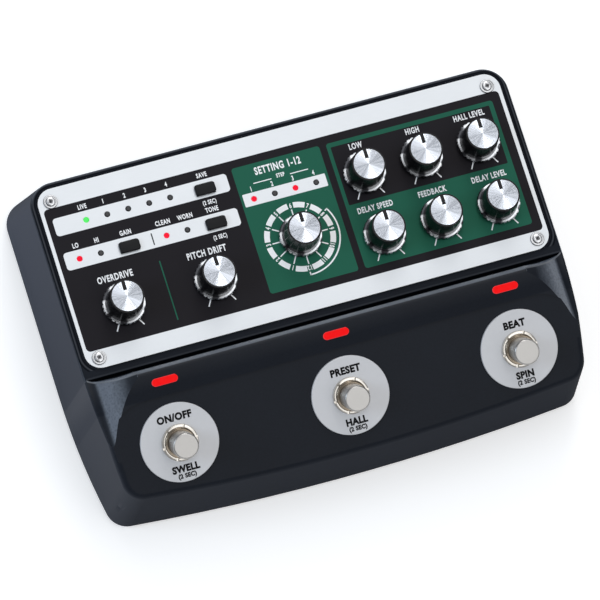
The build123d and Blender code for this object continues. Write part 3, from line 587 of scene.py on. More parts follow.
@dataclass(frozen=True)
class PanelPrint:
    """Brushed silver panel with its black, green and silver fields."""

    centre: Vector
    name: str = "panel_print"
    silver: Colour = tint(232, 235, 238)
    silver_dull: float = 0.86
    black: Colour = tint(28, 26, 30)
    black_rise: float = 1.25
    green: Colour = tint(32, 95, 75)
    brush_mm: float = 0.12
    brush_stretch: tuple[float, float, float] = (0.03, 1.0, 1.0)
    brush_share: float = 0.6
    brush_rough: float = 0.14
    brush_depth_mm: float = 0.004
    cloud_mm: float = 14.0
    cloud_share: float = 0.4
    metallic: float = 0.4
    roughness: float = 0.34
    ink_rough: float = 0.16
    specular: float = 0.1
    ground: Field = Field(-88.3, 88.2, -28.0, 27.5, 1.7)
    strips: tuple[Field, ...] = (
        Field(-86.1, -19.4, 16.6, 23.5, 1.3),
        Field(-86.1, -19.4, 3.2, 10.0, 1.3),
        Field(-16.0, 16.0, 9.0, 13.9, 0.4),
    )
    divider: Field = Field(-52.85, -52.4, 4.3, 8.9, 0.2)
    greens: tuple[Field, ...] = (
        Field(-17.0, 17.1, -24.8, 24.5, 1.1),
        Field(19.7, 84.9, -24.8, 24.4, 1.1),
        Field(-52.95, -52.45, -25.0, -1.9, 0.2),
    )
    tone_ground: Field = Field(21.1, 83.2, -0.3, 22.7, 0.4)

    def build(self) -> bpy.types.Material:
        """Makes the material."""
        shade = Shade(self.name)
        place = shade.place(self.centre)
        x, y, _ = shade.axes(place)
        stretched = shade.node("ShaderNodeMapping", None, {"Vector": place, "Scale": self.brush_stretch})
        brush = shade.noise(stretched.outputs["Vector"], self.brush_mm, 3.0)
        cloud = shade.noise(place, self.cloud_mm, 2.0)
        ground = self.ground.mask(x, y)
        strips = any_field(self.strips, x, y) * (1 - self.divider.mask(x, y))
        greens = any_field(self.greens, x, y) * (1 - self.tone_ground.mask(x, y))
        ink = ground * (1 - strips)
        bright = (brush * self.brush_share + cloud * self.cloud_share).clamped()
        metal = shade.mix(bright, scaled(self.silver, self.silver_dull), self.silver)
        dark = shade.mix(cloud, self.black, scaled(self.black, self.black_rise))
        colour = shade.mix(ground, metal, shade.mix(greens, dark, self.green))
        shade.set(base_color=shade.mix(strips, colour, metal), metallic=(1 - ink) * self.metallic)
        shade.set(roughness=self.roughness + ink * self.ink_rough + (brush - 0.5) * self.brush_rough)
        shade.set(specular_ior_level=self.specular)
        shade.bump(brush * (1 - ink), self.brush_depth_mm)
        return shade.material


@dataclass(frozen=True)
class SpunMetal:
    """Bright metal turned on a lathe: fine rings about one upright axis with painted dark reflection streaks,
    and plating outside them with painted dark reflection patches.
    """

    name: str
    centre: Vector
    colour: Colour = tint(216, 221, 230)
    # Share of the cap's colour where the painted reflection streaks are darkest.
    dull_share: float = 0.72
    plating: Colour = tint(226, 228, 232)
    # Painted dark reflection on the plating, in patches.
    shadow: Colour = tint(70, 71, 75)
    roughness: float = 0.2
    ring_rough: float = 0.1
    ring_mm: float = 0.09
    ring_share: float = 0.75
    band_scale: float = 6.0
    band_share: float = 0.5
    tip_share: float = 0.36
    turned_r_mm: float = 5.9
    axis_r_mm: float = 0.05
    spot_mm: float = 3.2
    spot_level: float = 0.44
    spot_contrast: float = 12.0
    streak_size: float = 0.2
    streak_level: float = 0.34
    streak_contrast: float = 3.4
    streak_share: float = 0.7

    def build(self) -> bpy.types.Material:
        """Makes the material."""
        shade = Shade(self.name)
        place = shade.place(self.centre)
        x, y, _ = shade.axes(place)
        radius = (x * x + y * y).root()
        wave = shade.math(Op.SINE, radius * (FULL_TURN / self.ring_mm))
        inputs = {"W": radius, "Scale": self.band_scale, "Detail": 3.0}
        rings = shade.node("ShaderNodeTexNoise", {"noise_dimensions": "1D"}, inputs)
        bands = Value(shade, rings.outputs[0])
        turned = radius.below(self.turned_r_mm)
        tip = (wave * self.ring_share + (bands - 0.5) * self.band_share) * turned * self.tip_share
        clear = radius.at_least(self.axis_r_mm)
        outward = shade.node("ShaderNodeCombineXYZ", None, {0: x / clear, 1: y / clear}).outputs[0]
        lean = shade.vector(Op.SCALE, {0: outward, "Scale": tip})
        facing = shade.node("ShaderNodeNewGeometry").outputs["Normal"]
        normal = shade.vector(Op.NORMALIZE, {0: shade.vector(Op.ADD, {0: facing, 1: lean})})
        # Painted reflection: the plating dark in patches.
        spots = shade.noise(place, self.spot_mm, 0.5)
        lit_patches = ((spots - self.spot_level) * self.spot_contrast).clamped()
        skirt = shade.mix(lit_patches, self.shadow, self.plating)
        # Painted reflection: dark streaks running outward over the cap, mixed with the rings' tone.
        painted_streaks = shade.noise(outward, self.streak_size, 1.0)
        painted_streaks = ((painted_streaks - self.streak_level) * self.streak_contrast).clamped()
        tone = painted_streaks * self.streak_share + bands * (1 - self.streak_share)
        cap = shade.mix(tone, scaled(self.colour, self.dull_share), self.colour)
        shade.set(base_color=shade.mix(turned, skirt, cap), metallic=1.0)
        shade.set(roughness=self.roughness + (bands - 0.5) * self.ring_rough, normal=normal)
        return shade.material


@dataclass(frozen=True)
class Plated:
    """Polished or satin plating with faint smudges, its sloped sides given a painted shade colour when one is
    given.
    """

    name: str
    colour: Colour
    roughness: float
    smudge: float = 0.12
    smudge_mm: float = 4.0
    dull_share: float = 0.9
    grain_mm: float = 0.15
    grain_depth_mm: float = 0.002
    least_roughness: float = 0.03
    metallic: float = 1.0
    steep: Colour | None = None
    steep_level: float = 0.95
    steep_crisp: float = 4.0

    def build(self) -> bpy.types.Material:
        """Makes the material."""
        shade = Shade(self.name)
        place = shade.place()
        cloud = shade.noise(place, self.smudge_mm, 4.0)
        grain = shade.noise(place, self.grain_mm, 2.0)
        colour = shade.mix(cloud, scaled(self.colour, self.dull_share), self.colour)
        if self.steep:
            # Painted shade: sloped sides take the other colour.
            side = ((self.steep_level - shade.facing()[2]) * self.steep_crisp).clamped()
            colour = shade.mix(side, colour, self.steep)
        shade.set(base_color=colour, metallic=self.metallic)
        uneven = self.roughness + (cloud - 0.5) * self.smudge
        shade.set(roughness=uneven.at_least(self.least_roughness))
        shade.bump(grain, self.grain_depth_mm)
        return shade.material


@dataclass(frozen=True)
class Lamp:
    """A lit lens: cloudy all over, with another colour round its rim."""

    name: str
    colour: Colour
    deep: Colour
    rim: Colour
    unlit: Colour = tint(30, 4, 5)
    roughness: float = 0.2
    specular: float = 0.05
    strength: float = 1.0
    cloud_mm: float = 1.2
    rim_level: float = 0.86
    rim_crisp: float = 6.0

    def build(self) -> bpy.types.Material:
        """Makes the material."""
        shade = Shade(self.name)
        cloud = shade.noise(shade.place(), self.cloud_mm, 2.0)
        shade.set(base_color=self.unlit, roughness=self.roughness)
        shade.set(specular_ior_level=self.specular, emission_strength=self.strength)
        rim = ((self.rim_level - shade.facing()[2]) * self.rim_crisp).clamped()
        shade.set(emission_color=shade.mix(rim, shade.mix(cloud, self.deep, self.colour), self.rim))
        return shade.material


class Frame:
    """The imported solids, with the places that the looks are built from."""

    def __init__(self) -> None:
        """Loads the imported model."""
        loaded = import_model()
        self.nodes: dict[str, bpy.types.Object] = loaded["nodes"]
        self.joints: dict[str, dict[str, Any]] = {j["name"]: j for j in loaded["joints"]}
        self.slots = {s["node"]: s["material_slot"] for s in loaded["record"]["subparts"]}
        self.bodies = {n: b for b, ns in loaded["record"]["behaviour"]["bodies"].items() for n in ns}
        self.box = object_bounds()
        low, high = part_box("control_panel")
        self.panel = Vector(((low.x + high.x) / 2, (low.y + high.y) / 2, high.z))

    def pivot(self, joint: str) -> Vector:
        """Place of a joint."""
        return Vector(self.joints[joint]["pos_m"])

    def across(self, joint: str) -> Matrix:
        """Frame on the surface that a sliding joint goes into: X stays, Z points out of it.

        Args:
            joint: Name of the joint.

        Returns:
            The frame's matrix.
        """
        out = -Vector(self.joints[joint]["axis"])
        side = Vector((1, 0, 0))
        turned = Matrix((side, out.cross(side), out)).transposed().to_4x4()
        return Matrix.Translation(self.pivot(joint)) @ turned

    def dress(self, finish: bpy.types.Material, *names: str) -> None:
        """Gives solids a better material.

        Args:
            finish: The material.
            names: Nodes.
        """
        for name in names:
            materials = self.nodes[name].data.materials
            materials.clear()
            materials.append(finish)
            log.info("dressed %s with %s", name, finish.name)


def add_piece(
    name: str, shape: bmesh.types.BMesh, finish: bpy.types.Material, body: str, smooth: bool = True
) -> bpy.types.Object:
    """Makes a mesh object of a shape and lets it ride on a body.

    Args:
        name: Name of the piece.
        shape: Its shape, in place, in metres. It is freed.
        finish: Its material.
        body: Body that it rides on.
        smooth: Whether its round faces are shaded smooth.

    Returns:
        The new object.
    """
    bmesh.ops.remove_doubles(shape, verts=shape.verts, dist=WELD_MM * MM)
    bmesh.ops.recalc_face_normals(shape, faces=shape.faces)
    mesh = bpy.data.meshes.new(name)
    shape.to_mesh(mesh)
    shape.free()
    if smooth:
        mesh.shade_smooth()
        mesh.set_sharp_from_angle(angle=math.radians(SHARP_DEGREES))
    mesh.materials.append(finish)
    piece = bpy.data.objects.new(name, mesh)
    bpy.context.scene.collection.objects.link(piece)
    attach(piece, body)
    log.info("made %s: %d faces", name, len(mesh.polygons))
    return piece


def lathe(points: Iterable[tuple[float, float]], steps: int = 72) -> bmesh.types.BMesh:
    """Turns a closed outline about Z; a side that lies on the axis is left out.

    Args:
        points: Radius and height of each corner, in millimetres.
        steps: Sides of the turned shape.

    Returns:
        The shape, in millimetres.
    """
    shape = bmesh.new()
    corners = [shape.verts.new((r, 0, z)) for r, z in points]
    pairs = zip(corners, corners[1:] + corners[:1])
    edges = [shape.edges.new(pair) for pair in pairs if pair[0].co.x or pair[1].co.x]
    turn = {"cent": (0, 0, 0), "axis": (0, 0, 1), "angle": FULL_TURN}
    bmesh.ops.spin(shape, geom=corners + edges, steps=steps, use_merge=True, **turn)
    bmesh.ops.remove_doubles(shape, verts=shape.verts, dist=WELD_MM)
    return shape


def sweep(points: Iterable[tuple[float, float]], start: float, stop: float) -> bmesh.types.BMesh:
    """Turns a closed outline about Z through a part of a turn, with closed ends.

    Args:
        points: Radius and height of each corner, in millimetres.
        start: Bearing of its start, in degrees to the right of the rear.
        stop: Bearing of its end.

    Returns:
        The shape, in millimetres.
    """
    shape = bmesh.new()
    corners = [shape.verts.new((r, 0, z)) for r, z in points]
    face = shape.faces.new(corners)
    angle = math.radians(start - stop)
    steps = max(SWEEP_LEAST, math.ceil(abs(angle) / SWEEP_STEP))
    bmesh.ops.spin(shape, geom=[face], cent=(0, 0, 0), axis=(0, 0, 1), angle=angle, steps=steps)
    bmesh.ops.contextual_create(shape, geom=corners)
    bmesh.ops.rotate(shape, verts=shape.verts, matrix=Matrix.Rotation(math.radians(90 - start), 3, "Z"))
    bmesh.ops.recalc_face_normals(shape, faces=shape.faces)
    return shape


def join(*shapes: bmesh.types.BMesh) -> bmesh.types.BMesh:
    """Puts shapes together as one and frees them."""
    whole = bmesh.new()
    for shape in shapes:
        mesh = bpy.data.meshes.new("part")
        shape.to_mesh(mesh)
        shape.free()
        whole.from_mesh(mesh)
        bpy.data.meshes.remove(mesh)
    return whole


def cut_copy(node: bpy.types.Object, frame: Matrix) -> bmesh.types.BMesh:
    """Copies a solid's mesh up to a plane and closes it there.

    Args:
        node: The solid.
        frame: A frame on the plane, its Z pointing to the side that is left out.

    Returns:
        The shape, in metres.
    """
    shape = bmesh.new()
    shape.from_mesh(node.data)
    bmesh.ops.remove_doubles(shape, verts=shape.verts, dist=WELD_MM * MM)
    geom = shape.verts[:] + shape.edges[:] + shape.faces[:]
    plane = {"plane_co": frame.translation, "plane_no": frame.col[2].to_3d()}
    cut = bmesh.ops.bisect_plane(shape, geom=geom, clear_outer=True, **plane)
    bmesh.ops.edgenet_fill(shape, edges=[e for e in cut["geom_cut"] if isinstance(e, bmesh.types.BMEdge)])
    return shape


def settle(shape: bmesh.types.BMesh, frame: Matrix) -> bmesh.types.BMesh:
    """Takes a shape from millimetres to its place in metres."""
    bmesh.ops.transform(shape, matrix=frame @ Matrix.Scale(MM, 4), verts=shape.verts)
    return shape


def round_off(
    shape: bmesh.types.BMesh, edges: list[bmesh.types.BMEdge], radius: float, segments: int
) -> None:
    """Rounds edges of a shape.

    Args:
        shape: The shape.
        edges: Its edges.
        radius: Radius of the rounding.
        segments: Faces of the rounding.
    """
    bmesh.ops.bevel(
        shape, geom=edges, offset=radius, affect="EDGES", segments=segments, profile=0.5, material=-1
    )


@dataclass
class Print:
    """Ink on a flat surface: words, bars and arcs, drawn in millimetres."""

    frame: Matrix
    thick: float = 0.03
    lift: float = 0.01
    narrow_share: float = 0.66
    weight_share: float = 0.05
    space_share: float = 1.16
    capital_share: float = 0.72
    curve_steps: int = 3
    shape: bmesh.types.BMesh = field(default_factory=bmesh.new)

    def word(self, text: str, x: float, y: float, height: float, turn: float = 0.0) -> None:
        """Draws a word or a number.

        Args:
            text: The word.
            x: Place of its middle along the surface.
            y: Place across the surface, at half the height of a capital.
            height: Height of a capital.
            turn: Turn to the left, in degrees.
        """
        curve = bpy.data.curves.new("word", "FONT")
        curve.body = text
        curve.size = height / self.capital_share
        curve.align_x = "CENTER"
        curve.offset = height * self.weight_share
        curve.space_character = self.space_share
        curve.extrude = self.thick / 2
        curve.resolution_u = self.curve_steps
        holder = bpy.data.objects.new("word", curve)
        mesh = bpy.data.meshes.new_from_object(holder)
        part = bmesh.new()
        part.from_mesh(mesh)
        bpy.data.objects.remove(holder)
        bpy.data.curves.remove(curve)
        middle = Matrix.Translation((0, -height / 2, self.thick / 2))
        thin = Matrix.Diagonal((self.narrow_share, 1, 1, 1))
        turned = Matrix.Translation((x, y, 0)) @ Matrix.Rotation(math.radians(turn), 4, "Z")
        self._add(part, turned @ thin @ middle)
        bpy.data.meshes.remove(mesh)

    def bar(self, x: float, y: float, length: float, width: float, turn: float = 0.0) -> None:
        """Draws a straight bar, its length along X before it is turned.

        Args:
            x: Place of its middle along the surface.
            y: Place of its middle across the surface.
            length: Its length.
            width: Its width.
            turn: Turn to the left, in degrees.
        """
        part = bmesh.new()
        bmesh.ops.create_cube(part, size=1.0)
        size = Matrix.Diagonal((length, width, self.thick, 1))
        up = Matrix.Translation((x, y, self.thick / 2))
        self._add(part, up @ Matrix.Rotation(math.radians(turn), 4, "Z") @ size)

    def arc(self, x: float, y: float, inner: float, outer: float, start: float, stop: float) -> None:
        """Draws a stretch of a ring.

        Args:
            x: Place of the ring's middle along the surface.
            y: Place of the ring's middle across the surface.
            inner: Inner radius.
            outer: Outer radius.
            start: Bearing of its start, in degrees to the right of the rear.
            stop: Bearing of its end.
        """
        square = [(inner, 0), (outer, 0), (outer, self.thick), (inner, self.thick)]
        self._add(sweep(square, start, stop), Matrix.Translation((x, y, 0)))

    def _add(self, part: bmesh.types.BMesh, place: Matrix) -> None:
        """Adds a part to the print and frees it.

        Args:
            part: The part.
            place: Its place on the surface.
        """
        bmesh.ops.transform(part, matrix=Matrix.Translation((0, 0, self.lift)) @ place, verts=part.verts)
        bmesh.ops.remove_doubles(part, verts=part.verts, dist=WELD_MM)
        bmesh.ops.dissolve_degenerate(part, edges=part.edges, dist=WELD_MM)
        bmesh.ops.recalc_face_normals(part, faces=part.faces)
        mesh = bpy.data.meshes.new("part")
        part.to_mesh(mesh)
        part.free()
        self.shape.from_mesh(mesh)
        bpy.data.meshes.remove(mesh)

    def finish(self, name: str, ink: bpy.types.Material, slot: str) -> bpy.types.Object:
        """Makes the print a piece on the case.

        Args:
            name: Name of the piece.
            ink: Its material.
            slot: Not used.

        Returns:
            The piece.
        """
        return add_piece(name, settle(self.shape, self.frame), ink, CASE, smooth=False)


@dataclass
class CaseShell:
    """The case with the rolled back of its ridge, its bottom plate, feet and screws."""

    frame: Frame
    panel_corner: float = 6.0
    lip: Lip = Lip()
    groove_width: float = 4.0
    roll_end_x: float = 89.8
    roll_steps: int = 60
    roll_thinning: float = 1.3
    sky_mm: float = 1000.0
    roll_outline: tuple[tuple[float, float], ...] = (
        (-0.41, 0.0),
        (-0.05, -0.38),
        (0.45, -1.1),
        (1.05, -2.4),
        (1.55, -4.0),
        (1.8, -5.6),
        (-0.6, -5.6),
        (-0.9, -0.9),
    )

    def build(self) -> None:
        """Dresses the solids."""
        low, high = (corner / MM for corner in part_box("control_panel"))
        outline = Field(low.x, high.x, low.y, high.y, self.panel_corner)
        paint = CasePaint(outline, self.lip).build()
        self.frame.dress(paint, "top_case")
        add_piece("ridge_back_roll", self.roll(), paint, CASE)
        self.frame.dress(Moulded("plate_paint", tint(30, 30, 32), 0.55).build(), "bottom_plate")
        rubber = Moulded("foot_rubber", tint(24, 24, 25), 0.8, grain_depth_mm=0.05)
        self.frame.dress(rubber.build(), "rubber_feet")
        self.frame.dress(Plated("screw_steel", tint(190, 190, 190), 0.3).build(), "bottom_screws")

    def roll(self) -> bmesh.types.BMesh:
        """Rolled back of the ridge: one outline swept along the lip, lower and thinner where the lip bends.

        Returns:
            The shape, in metres.
        """
        whole = bmesh.new()
        whole.from_mesh(self.frame.nodes["top_case"].data)
        surface = BVHTree.FromBMesh(whole)
        whole.free()
        shape = bmesh.new()
        rings = []
        for i in range(self.roll_steps + 1):
            x = self.roll_end_x * math.sin(math.pi * (i / self.roll_steps - 0.5))
            away = max(0.0, abs(x) - self.lip.bend_x)
            drop = self.lip.arc_r - math.sqrt(self.lip.arc_r**2 - away**2)
            y = self.lip.y + drop
            thin = min(1.0, (self.groove_width - drop) / self.groove_width * self.roll_thinning)
            above = Vector((x, y + self.roll_outline[0][0], self.sky_mm)) * MM
            top = surface.ray_cast(above, Vector((0, 0, -1)))[0].z / MM
            lean = math.copysign(away / self.lip.arc_r, x)
            corners = [(x - lean * n, y + n * thin, top + z * thin) for n, z in self.roll_outline]
            rings.append([shape.verts.new(Vector(corner) * MM) for corner in corners])
        for ring, other in zip(rings, rings[1:]):
            for corners in zip(ring, ring[1:] + ring[:1], other[1:] + other[:1], other):
                shape.faces.new(corners)
        shape.faces.new(rings[0])
        shape.faces.new(rings[-1])
        return shape


@dataclass(frozen=True)
class Row:
    """Words in one line on the panel, in millimetres from the panel's middle."""

    y: float
    height: float
    words: tuple[tuple[str, float], ...]


@dataclass
class ControlPanel:
    """The printed panel with its lettering and screws."""

    frame: Frame
    controls: Mapping[str, tuple[str, float]] = field(
        default_factory=lambda: {
            "low_tone": ("LOW", 2.2),
            "high_tone": ("HIGH", 2.2),
            "reverb_level": ("HALL LEVEL", 2.2),
            "repeat_speed": ("DELAY SPEED", 2.2),
            "feedback": ("FEEDBACK", 2.2),
            "echo_level": ("DELAY LEVEL", 2.2),
            "drive": ("OVERDRIVE", 2.5),
            "flutter": ("PITCH DRIFT", 2.5),
        }
    )
    rows: tuple[Row, ...] = (
        Row(25.3, 1.75, (("LIVE", -74.1), ("1", -66.1), ("2", -57.9))),
        Row(25.3, 1.75, (("3", -49.9), ("4", -41.9), ("SAVE", -28.2))),
        Row(14.7, 1.6, (("(2 SEC)", -28.3),)),
        Row(11.8, 1.8, (("LO", -80.7), ("HI", -72.7), ("GAIN", -61.6))),
        Row(11.8, 1.8, (("CLEAN", -47.3), ("WORN", -38.7), ("TONE", -28.3))),
        Row(1.1, 1.6, (("(2 SEC)", -28.4),)),
        Row(21.4, 2.8, (("SETTING 1-12", 0.0),)),
        Row(17.7, 1.5, (("STEP", 0.0),)),
        Row(15.3, 1.8, (("1", -12.1), ("2", -4.0), ("3", 4.0), ("4", 12.0))),
    )
    screw_inset: float = 4.9
    screw_front_inset: float = 3.9
    screw_sides: int = 48
    screw_rear_turn: float = 20.0
    screw_front_turn: float = 52.0
    screw_outline: tuple[tuple[float, float], ...] = (
        (0.0, 0.72),
        (0.5, 0.72),
        (0.75, 1.1),
        (1.25, 1.12),
        (1.65, 0.95),
        (1.82, 0.62),
        (1.86, 0.42),
        (2.1, 0.42),
        (2.2, 0.62),
        (2.5, 0.58),
        (2.65, 0.35),
        (2.65, 0.0),
        (1.2, 0.0),
        (1.2, -2.5),
        (0.0, -2.5),
    )
    recess_length: float = 1.9
    recess_width: float = 0.5
    recess_thick: float = 0.5
    recess_floor: float = 0.66
    rule_x: float = 7.1
    rule_y: float = 17.05
    rule_length: float = 7.0
    rule_share: float = 0.8
    label_lift: float = 11.05
    tick_inner: float = 7.5
    tick_outer: float = 10.4
    tick_bearing: float = 150.0
    stroke: float = 0.45
    positions: int = 12
    first_upright: int = 6
    dial_tick: tuple[float, float] = (7.5, 10.7)
    dial_ring: tuple[float, float] = (11.2, 13.3)
    dial_half_gap: float = 10.0
    dial_number_r: float = 12.25
    dial_number_height: float = 1.8
    range_arc: tuple[float, float] = (14.5, 15.05)
    range_bearings: tuple[float, float] = (59.0, 182.0)
    range_hook: float = 1.3

    def build(self) -> None:
        """Dresses the panel and adds its print and screws."""
        self.frame.dress(PanelPrint(self.frame.panel).build(), "control_panel")
        self.add_screws()
        ink = Moulded("white_ink", tint(252, 253, 254), 0.5, mottle_share=0.05, grain_depth_mm=0.003)
        white = Print(Matrix.Translation(self.frame.panel))
        for row in self.rows:
            for text, x in row.words:
                white.word(text, x, row.y, row.height)
        for side in (-1, 1):
            white.bar(side * self.rule_x, self.rule_y, self.rule_length, self.stroke * self.rule_share)
        self.mark_knobs(white)
        self.mark_dial(white)
        white.finish("panel_lettering", ink.build(), self.frame.slots["control_panel"])

    def add_screws(self) -> None:
        """Makes the four flanged screws, with painted shade on their sloped sides and a grey cross of painted
        shade for each cross recess.
        """
        low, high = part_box("control_panel")
        reach_x = (high.x - low.x) / 2 - self.screw_inset * MM
        reach_rear = (high.y - low.y) / 2 - self.screw_inset * MM
        reach_front = (high.y - low.y) / 2 - self.screw_front_inset * MM
        heads, marks = [], []
        for x in (-reach_x, reach_x):
            for y, turn in ((reach_rear, self.screw_rear_turn), (-reach_front, self.screw_front_turn)):
                place = Matrix.Translation(self.frame.panel + Vector((x, y, 0)))
                heads.append(settle(lathe(self.screw_outline, self.screw_sides), place))
                cross = Print(Matrix(), thick=self.recess_thick, lift=self.recess_floor)
                for angle in (turn, turn + 90):
                    cross.bar(0, 0, self.recess_length, self.recess_width, angle)
                marks.append(settle(cross.shape, place))
        # Painted shade on the sloped sides of the heads.
        steep = tint(112, 113, 116)
        bright = Plated("panel_screw_steel", tint(216, 217, 219), 0.24, metallic=0.9, steep=steep).build()
        # Painted shade of the cross recesses, as grey crosses on the heads.
        dark = Moulded("screw_recess", tint(122, 121, 122), 0.5).build()
        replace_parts(add_piece("panel_screw_heads", join(*heads), bright, CASE), "panel_screws")
        add_piece("panel_screw_recesses", join(*marks), dark, CASE, smooth=False)

    def local(self, joint: str) -> tuple[float, float]:
        """Place of a control on the panel, in millimetres from its middle."""
        away = (self.frame.pivot(joint) - self.frame.panel) / MM
        return away.x, away.y

    def spoke(
        self, white: Print, centre: tuple[float, float], reach: tuple[float, float], bearing: float
    ) -> None:
        """Draws a short bar that points away from a centre.

        Args:
            white: The print.
            centre: The centre.
            reach: Radius of the bar's two ends.
            bearing: Its bearing, in degrees to the right of the rear.
        """
        middle = sum(reach) / 2
        turn = math.radians(bearing)
        place = centre[0] + middle * math.sin(turn), centre[1] + middle * math.cos(turn)
        white.bar(*place, reach[1] - reach[0], self.stroke, 90 - bearing)

    def mark_knobs(self, white: Print) -> None:
        """Adds each knob's word and its two end ticks."""
        for control, (text, height) in self.controls.items():
            centre = self.local(f"{control}_turn")
            white.word(text, centre[0], centre[1] + self.label_lift, height)
            for bearing in (-self.tick_bearing, self.tick_bearing):
                self.spoke(white, centre, (self.tick_inner, self.tick_outer), bearing)

    def mark_dial(self, white: Print) -> None:
        """Adds the selector's ring, numbers, ticks and outer arc."""
        centre = self.local("selector_turn")
        step = 360 / self.positions
        for number in range(1, self.positions + 1):
            bearing = (number - self.first_upright) * step
            turn = math.radians(bearing)
            x = centre[0] + self.dial_number_r * math.sin(turn)
            y = centre[1] + self.dial_number_r * math.cos(turn)
            white.word(str(number), x, y, self.dial_number_height, -bearing)
            self.spoke(white, centre, self.dial_tick, bearing)
            middle = bearing + step / 2
            white.arc(*centre, *self.dial_ring, middle - self.dial_half_gap, middle + self.dial_half_gap)
        white.arc(*centre, *self.range_arc, *self.range_bearings)
        for bearing in self.range_bearings:
            self.spoke(white, centre, (self.range_arc[1] - self.range_hook, self.range_arc[1]), bearing)


@dataclass
class Knobs:
    """The turning controls: smooth knob, spun cap, bright ring and shaft."""

    frame: Frame
    cap_r: float = 5.65
    pointer_length: float = 3.4
    pointer_width: float = 1.35
    pointer_lift: float = -0.02

    def build(self) -> None:
        """Dresses every control and inks its pointer."""
        plastic = Moulded(
            "knob_plastic", tint(14, 14, 16), 0.22, grain_mm=0.2, grain_depth_mm=0.004, specular=0.25
        )
        black = plastic.build()
        steel = Plated("shaft_steel", tint(190, 190, 192), 0.28).build()
        for joint in self.frame.joints:
            if joint.endswith("_turn"):
                control = joint.removesuffix("_turn")
                metal = SpunMetal(f"{control}_spun_metal", self.frame.pivot(joint)).build()
                self.frame.dress(black, f"{control}_knob")
                self.frame.dress(metal, f"{control}_knob_trim")
                self.frame.dress(steel, f"{control}_shaft")
                self.add_pointer(control, black)

    def add_pointer(self, control: str, black: bpy.types.Material) -> None:
        """Inks the line on a knob's cap.

        Args:
            control: Name of the control.
            black: Its finish.
        """
        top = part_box(f"{control}_knob_trim")[1].z
        place = self.frame.pivot(f"{control}_turn")
        ink = Print(Matrix.Translation((place.x, place.y, top)), lift=self.pointer_lift)
        ink.bar(0, self.cap_r - self.pointer_length / 2, self.pointer_length, self.pointer_width, 90)
        body = self.frame.bodies[f"{control}_knob"]
        add_piece(f"{control}_pointer", settle(ink.shape, ink.frame), black, body, smooth=False)


@dataclass
class FootSwitches:
    """Foot switches on the deck: plate with its words, notched nut, bush and plunger."""

    frame: Frame
    words: Mapping[str, tuple[str, str, str]] = field(
        default_factory=lambda: {
            "left": ("ON/OFF", "SWELL", "(2 SEC)"),
            "middle": ("PRESET", "HALL", "(2 SEC)"),
            "right": ("BEAT", "SPIN", "(2 SEC)"),
        }
    )
    word_places: tuple[tuple[float, float], ...] = ((9.5, 2.6), (-9.6, 2.5), (-12.3, 1.6))
    narrow_share: float = 0.94
    weight_share: float = 0.075
    space_share: float = 1.08
    plate_thick: float = 1.0
    nut_inner_r: float = 5.65
    nut_outer_r: float = 6.85
    nut_top: float = 2.45
    nut_waist: float = 1.75
    nut_round: float = 0.3
    nut_arc_share: float = 0.3
    nut_bevel_share: float = 0.5
    notches: int = 6
    notch_degrees: float = 8.0
    first_notch: float = -37.0
    bush_outline: tuple[tuple[float, float], ...] = (
        (4.86, -0.5),
        (5.62, -0.5),
        (5.62, 2.5),
        (5.45, 2.62),
        (5.45, 2.8),
        (5.62, 2.92),
        (5.62, 3.1),
        (5.2, 3.6),
        (4.86, 3.6),
    )

    def build(self) -> None:
        """Makes the nuts and words and dresses the foot switches."""
        nickel = Plated("nickel", tint(216, 211, 203), 0.17).build()
        warm = Plated("bush_nickel", tint(156, 143, 126), 0.26).build()
        top = Plated("plunger_nickel", tint(182, 180, 177), 0.3).build()
        satin = Plated("satin_plate", tint(214, 215, 218), 0.5, metallic=0.35).build()
        black = Moulded("black_ink", tint(18, 17, 19), 0.6, grain_depth_mm=0.003, specular=0.1).build()
        self.frame.dress(satin, "switch_plates")
        self.frame.dress(top, *(f"{side}_plunger" for side in self.words))
        self.trim_bodies(warm)
        nuts = [settle(self.nut(), self.frame.across(f"{side}_press")) for side in self.words]
        nut = add_piece("switch_nuts_notched", join(*nuts), nickel, CASE)
        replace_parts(nut, "switch_nuts")
        lift = Matrix.Translation((0, 0, self.plate_thick * MM))
        for side, words in self.words.items():
            ink = Print(
                self.frame.across(f"{side}_press") @ lift,
                narrow_share=self.narrow_share,
                weight_share=self.weight_share,
                space_share=self.space_share,
            )
            for text, (y, height) in zip(words, self.word_places):
                ink.word(text, 0.0, y, height)
            ink.finish(f"{side}_plate_lettering", black, self.frame.slots["switch_plates"])

    def nut(self) -> bmesh.types.BMesh:
        """One dress nut: a plain ring under six rounded blocks with a notch between each two."""
        low, inner, outer = self.plate_thick, self.nut_inner_r, self.nut_outer_r
        ring = lathe([(inner, low), (outer, low), (outer, self.nut_waist), (inner, self.nut_waist)])
        base, edge = self.nut_waist - self.nut_round, self.nut_round
        block = [
            (inner, base),
            (outer, base),
            (outer, self.nut_top - edge),
            (outer - edge * self.nut_arc_share, self.nut_top - edge * self.nut_arc_share),
            (outer - edge, self.nut_top),
            (inner + edge * self.nut_bevel_share, self.nut_top),
            (inner, self.nut_top - edge * self.nut_bevel_share),
        ]
        step = 360 / self.notches
        starts = [self.first_notch + self.notch_degrees / 2 + step * i for i in range(self.notches)]
        return join(ring, *(sweep(block, start, start + step - self.notch_degrees) for start in starts))

    def trim_bodies(self, warm: bpy.types.Material) -> None:
        """Replaces the switch bodies by a copy that ends under the deck, with turned bushes on it.

        Args:
            warm: Finish of the bushes.
        """
        shape = cut_copy(self.frame.nodes["switch_bodies"], self.frame.across("middle_press"))
        plastic = Moulded("switch_plastic", tint(24, 24, 25), 0.5).build()
        bodies = add_piece("switch_bodies_cut", shape, plastic, CASE)
        bushes = [settle(lathe(self.bush_outline), self.frame.across(f"{side}_press")) for side in self.words]
        add_piece("switch_bushes", join(*bushes), warm, CASE)
        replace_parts(bodies, "switch_bodies")


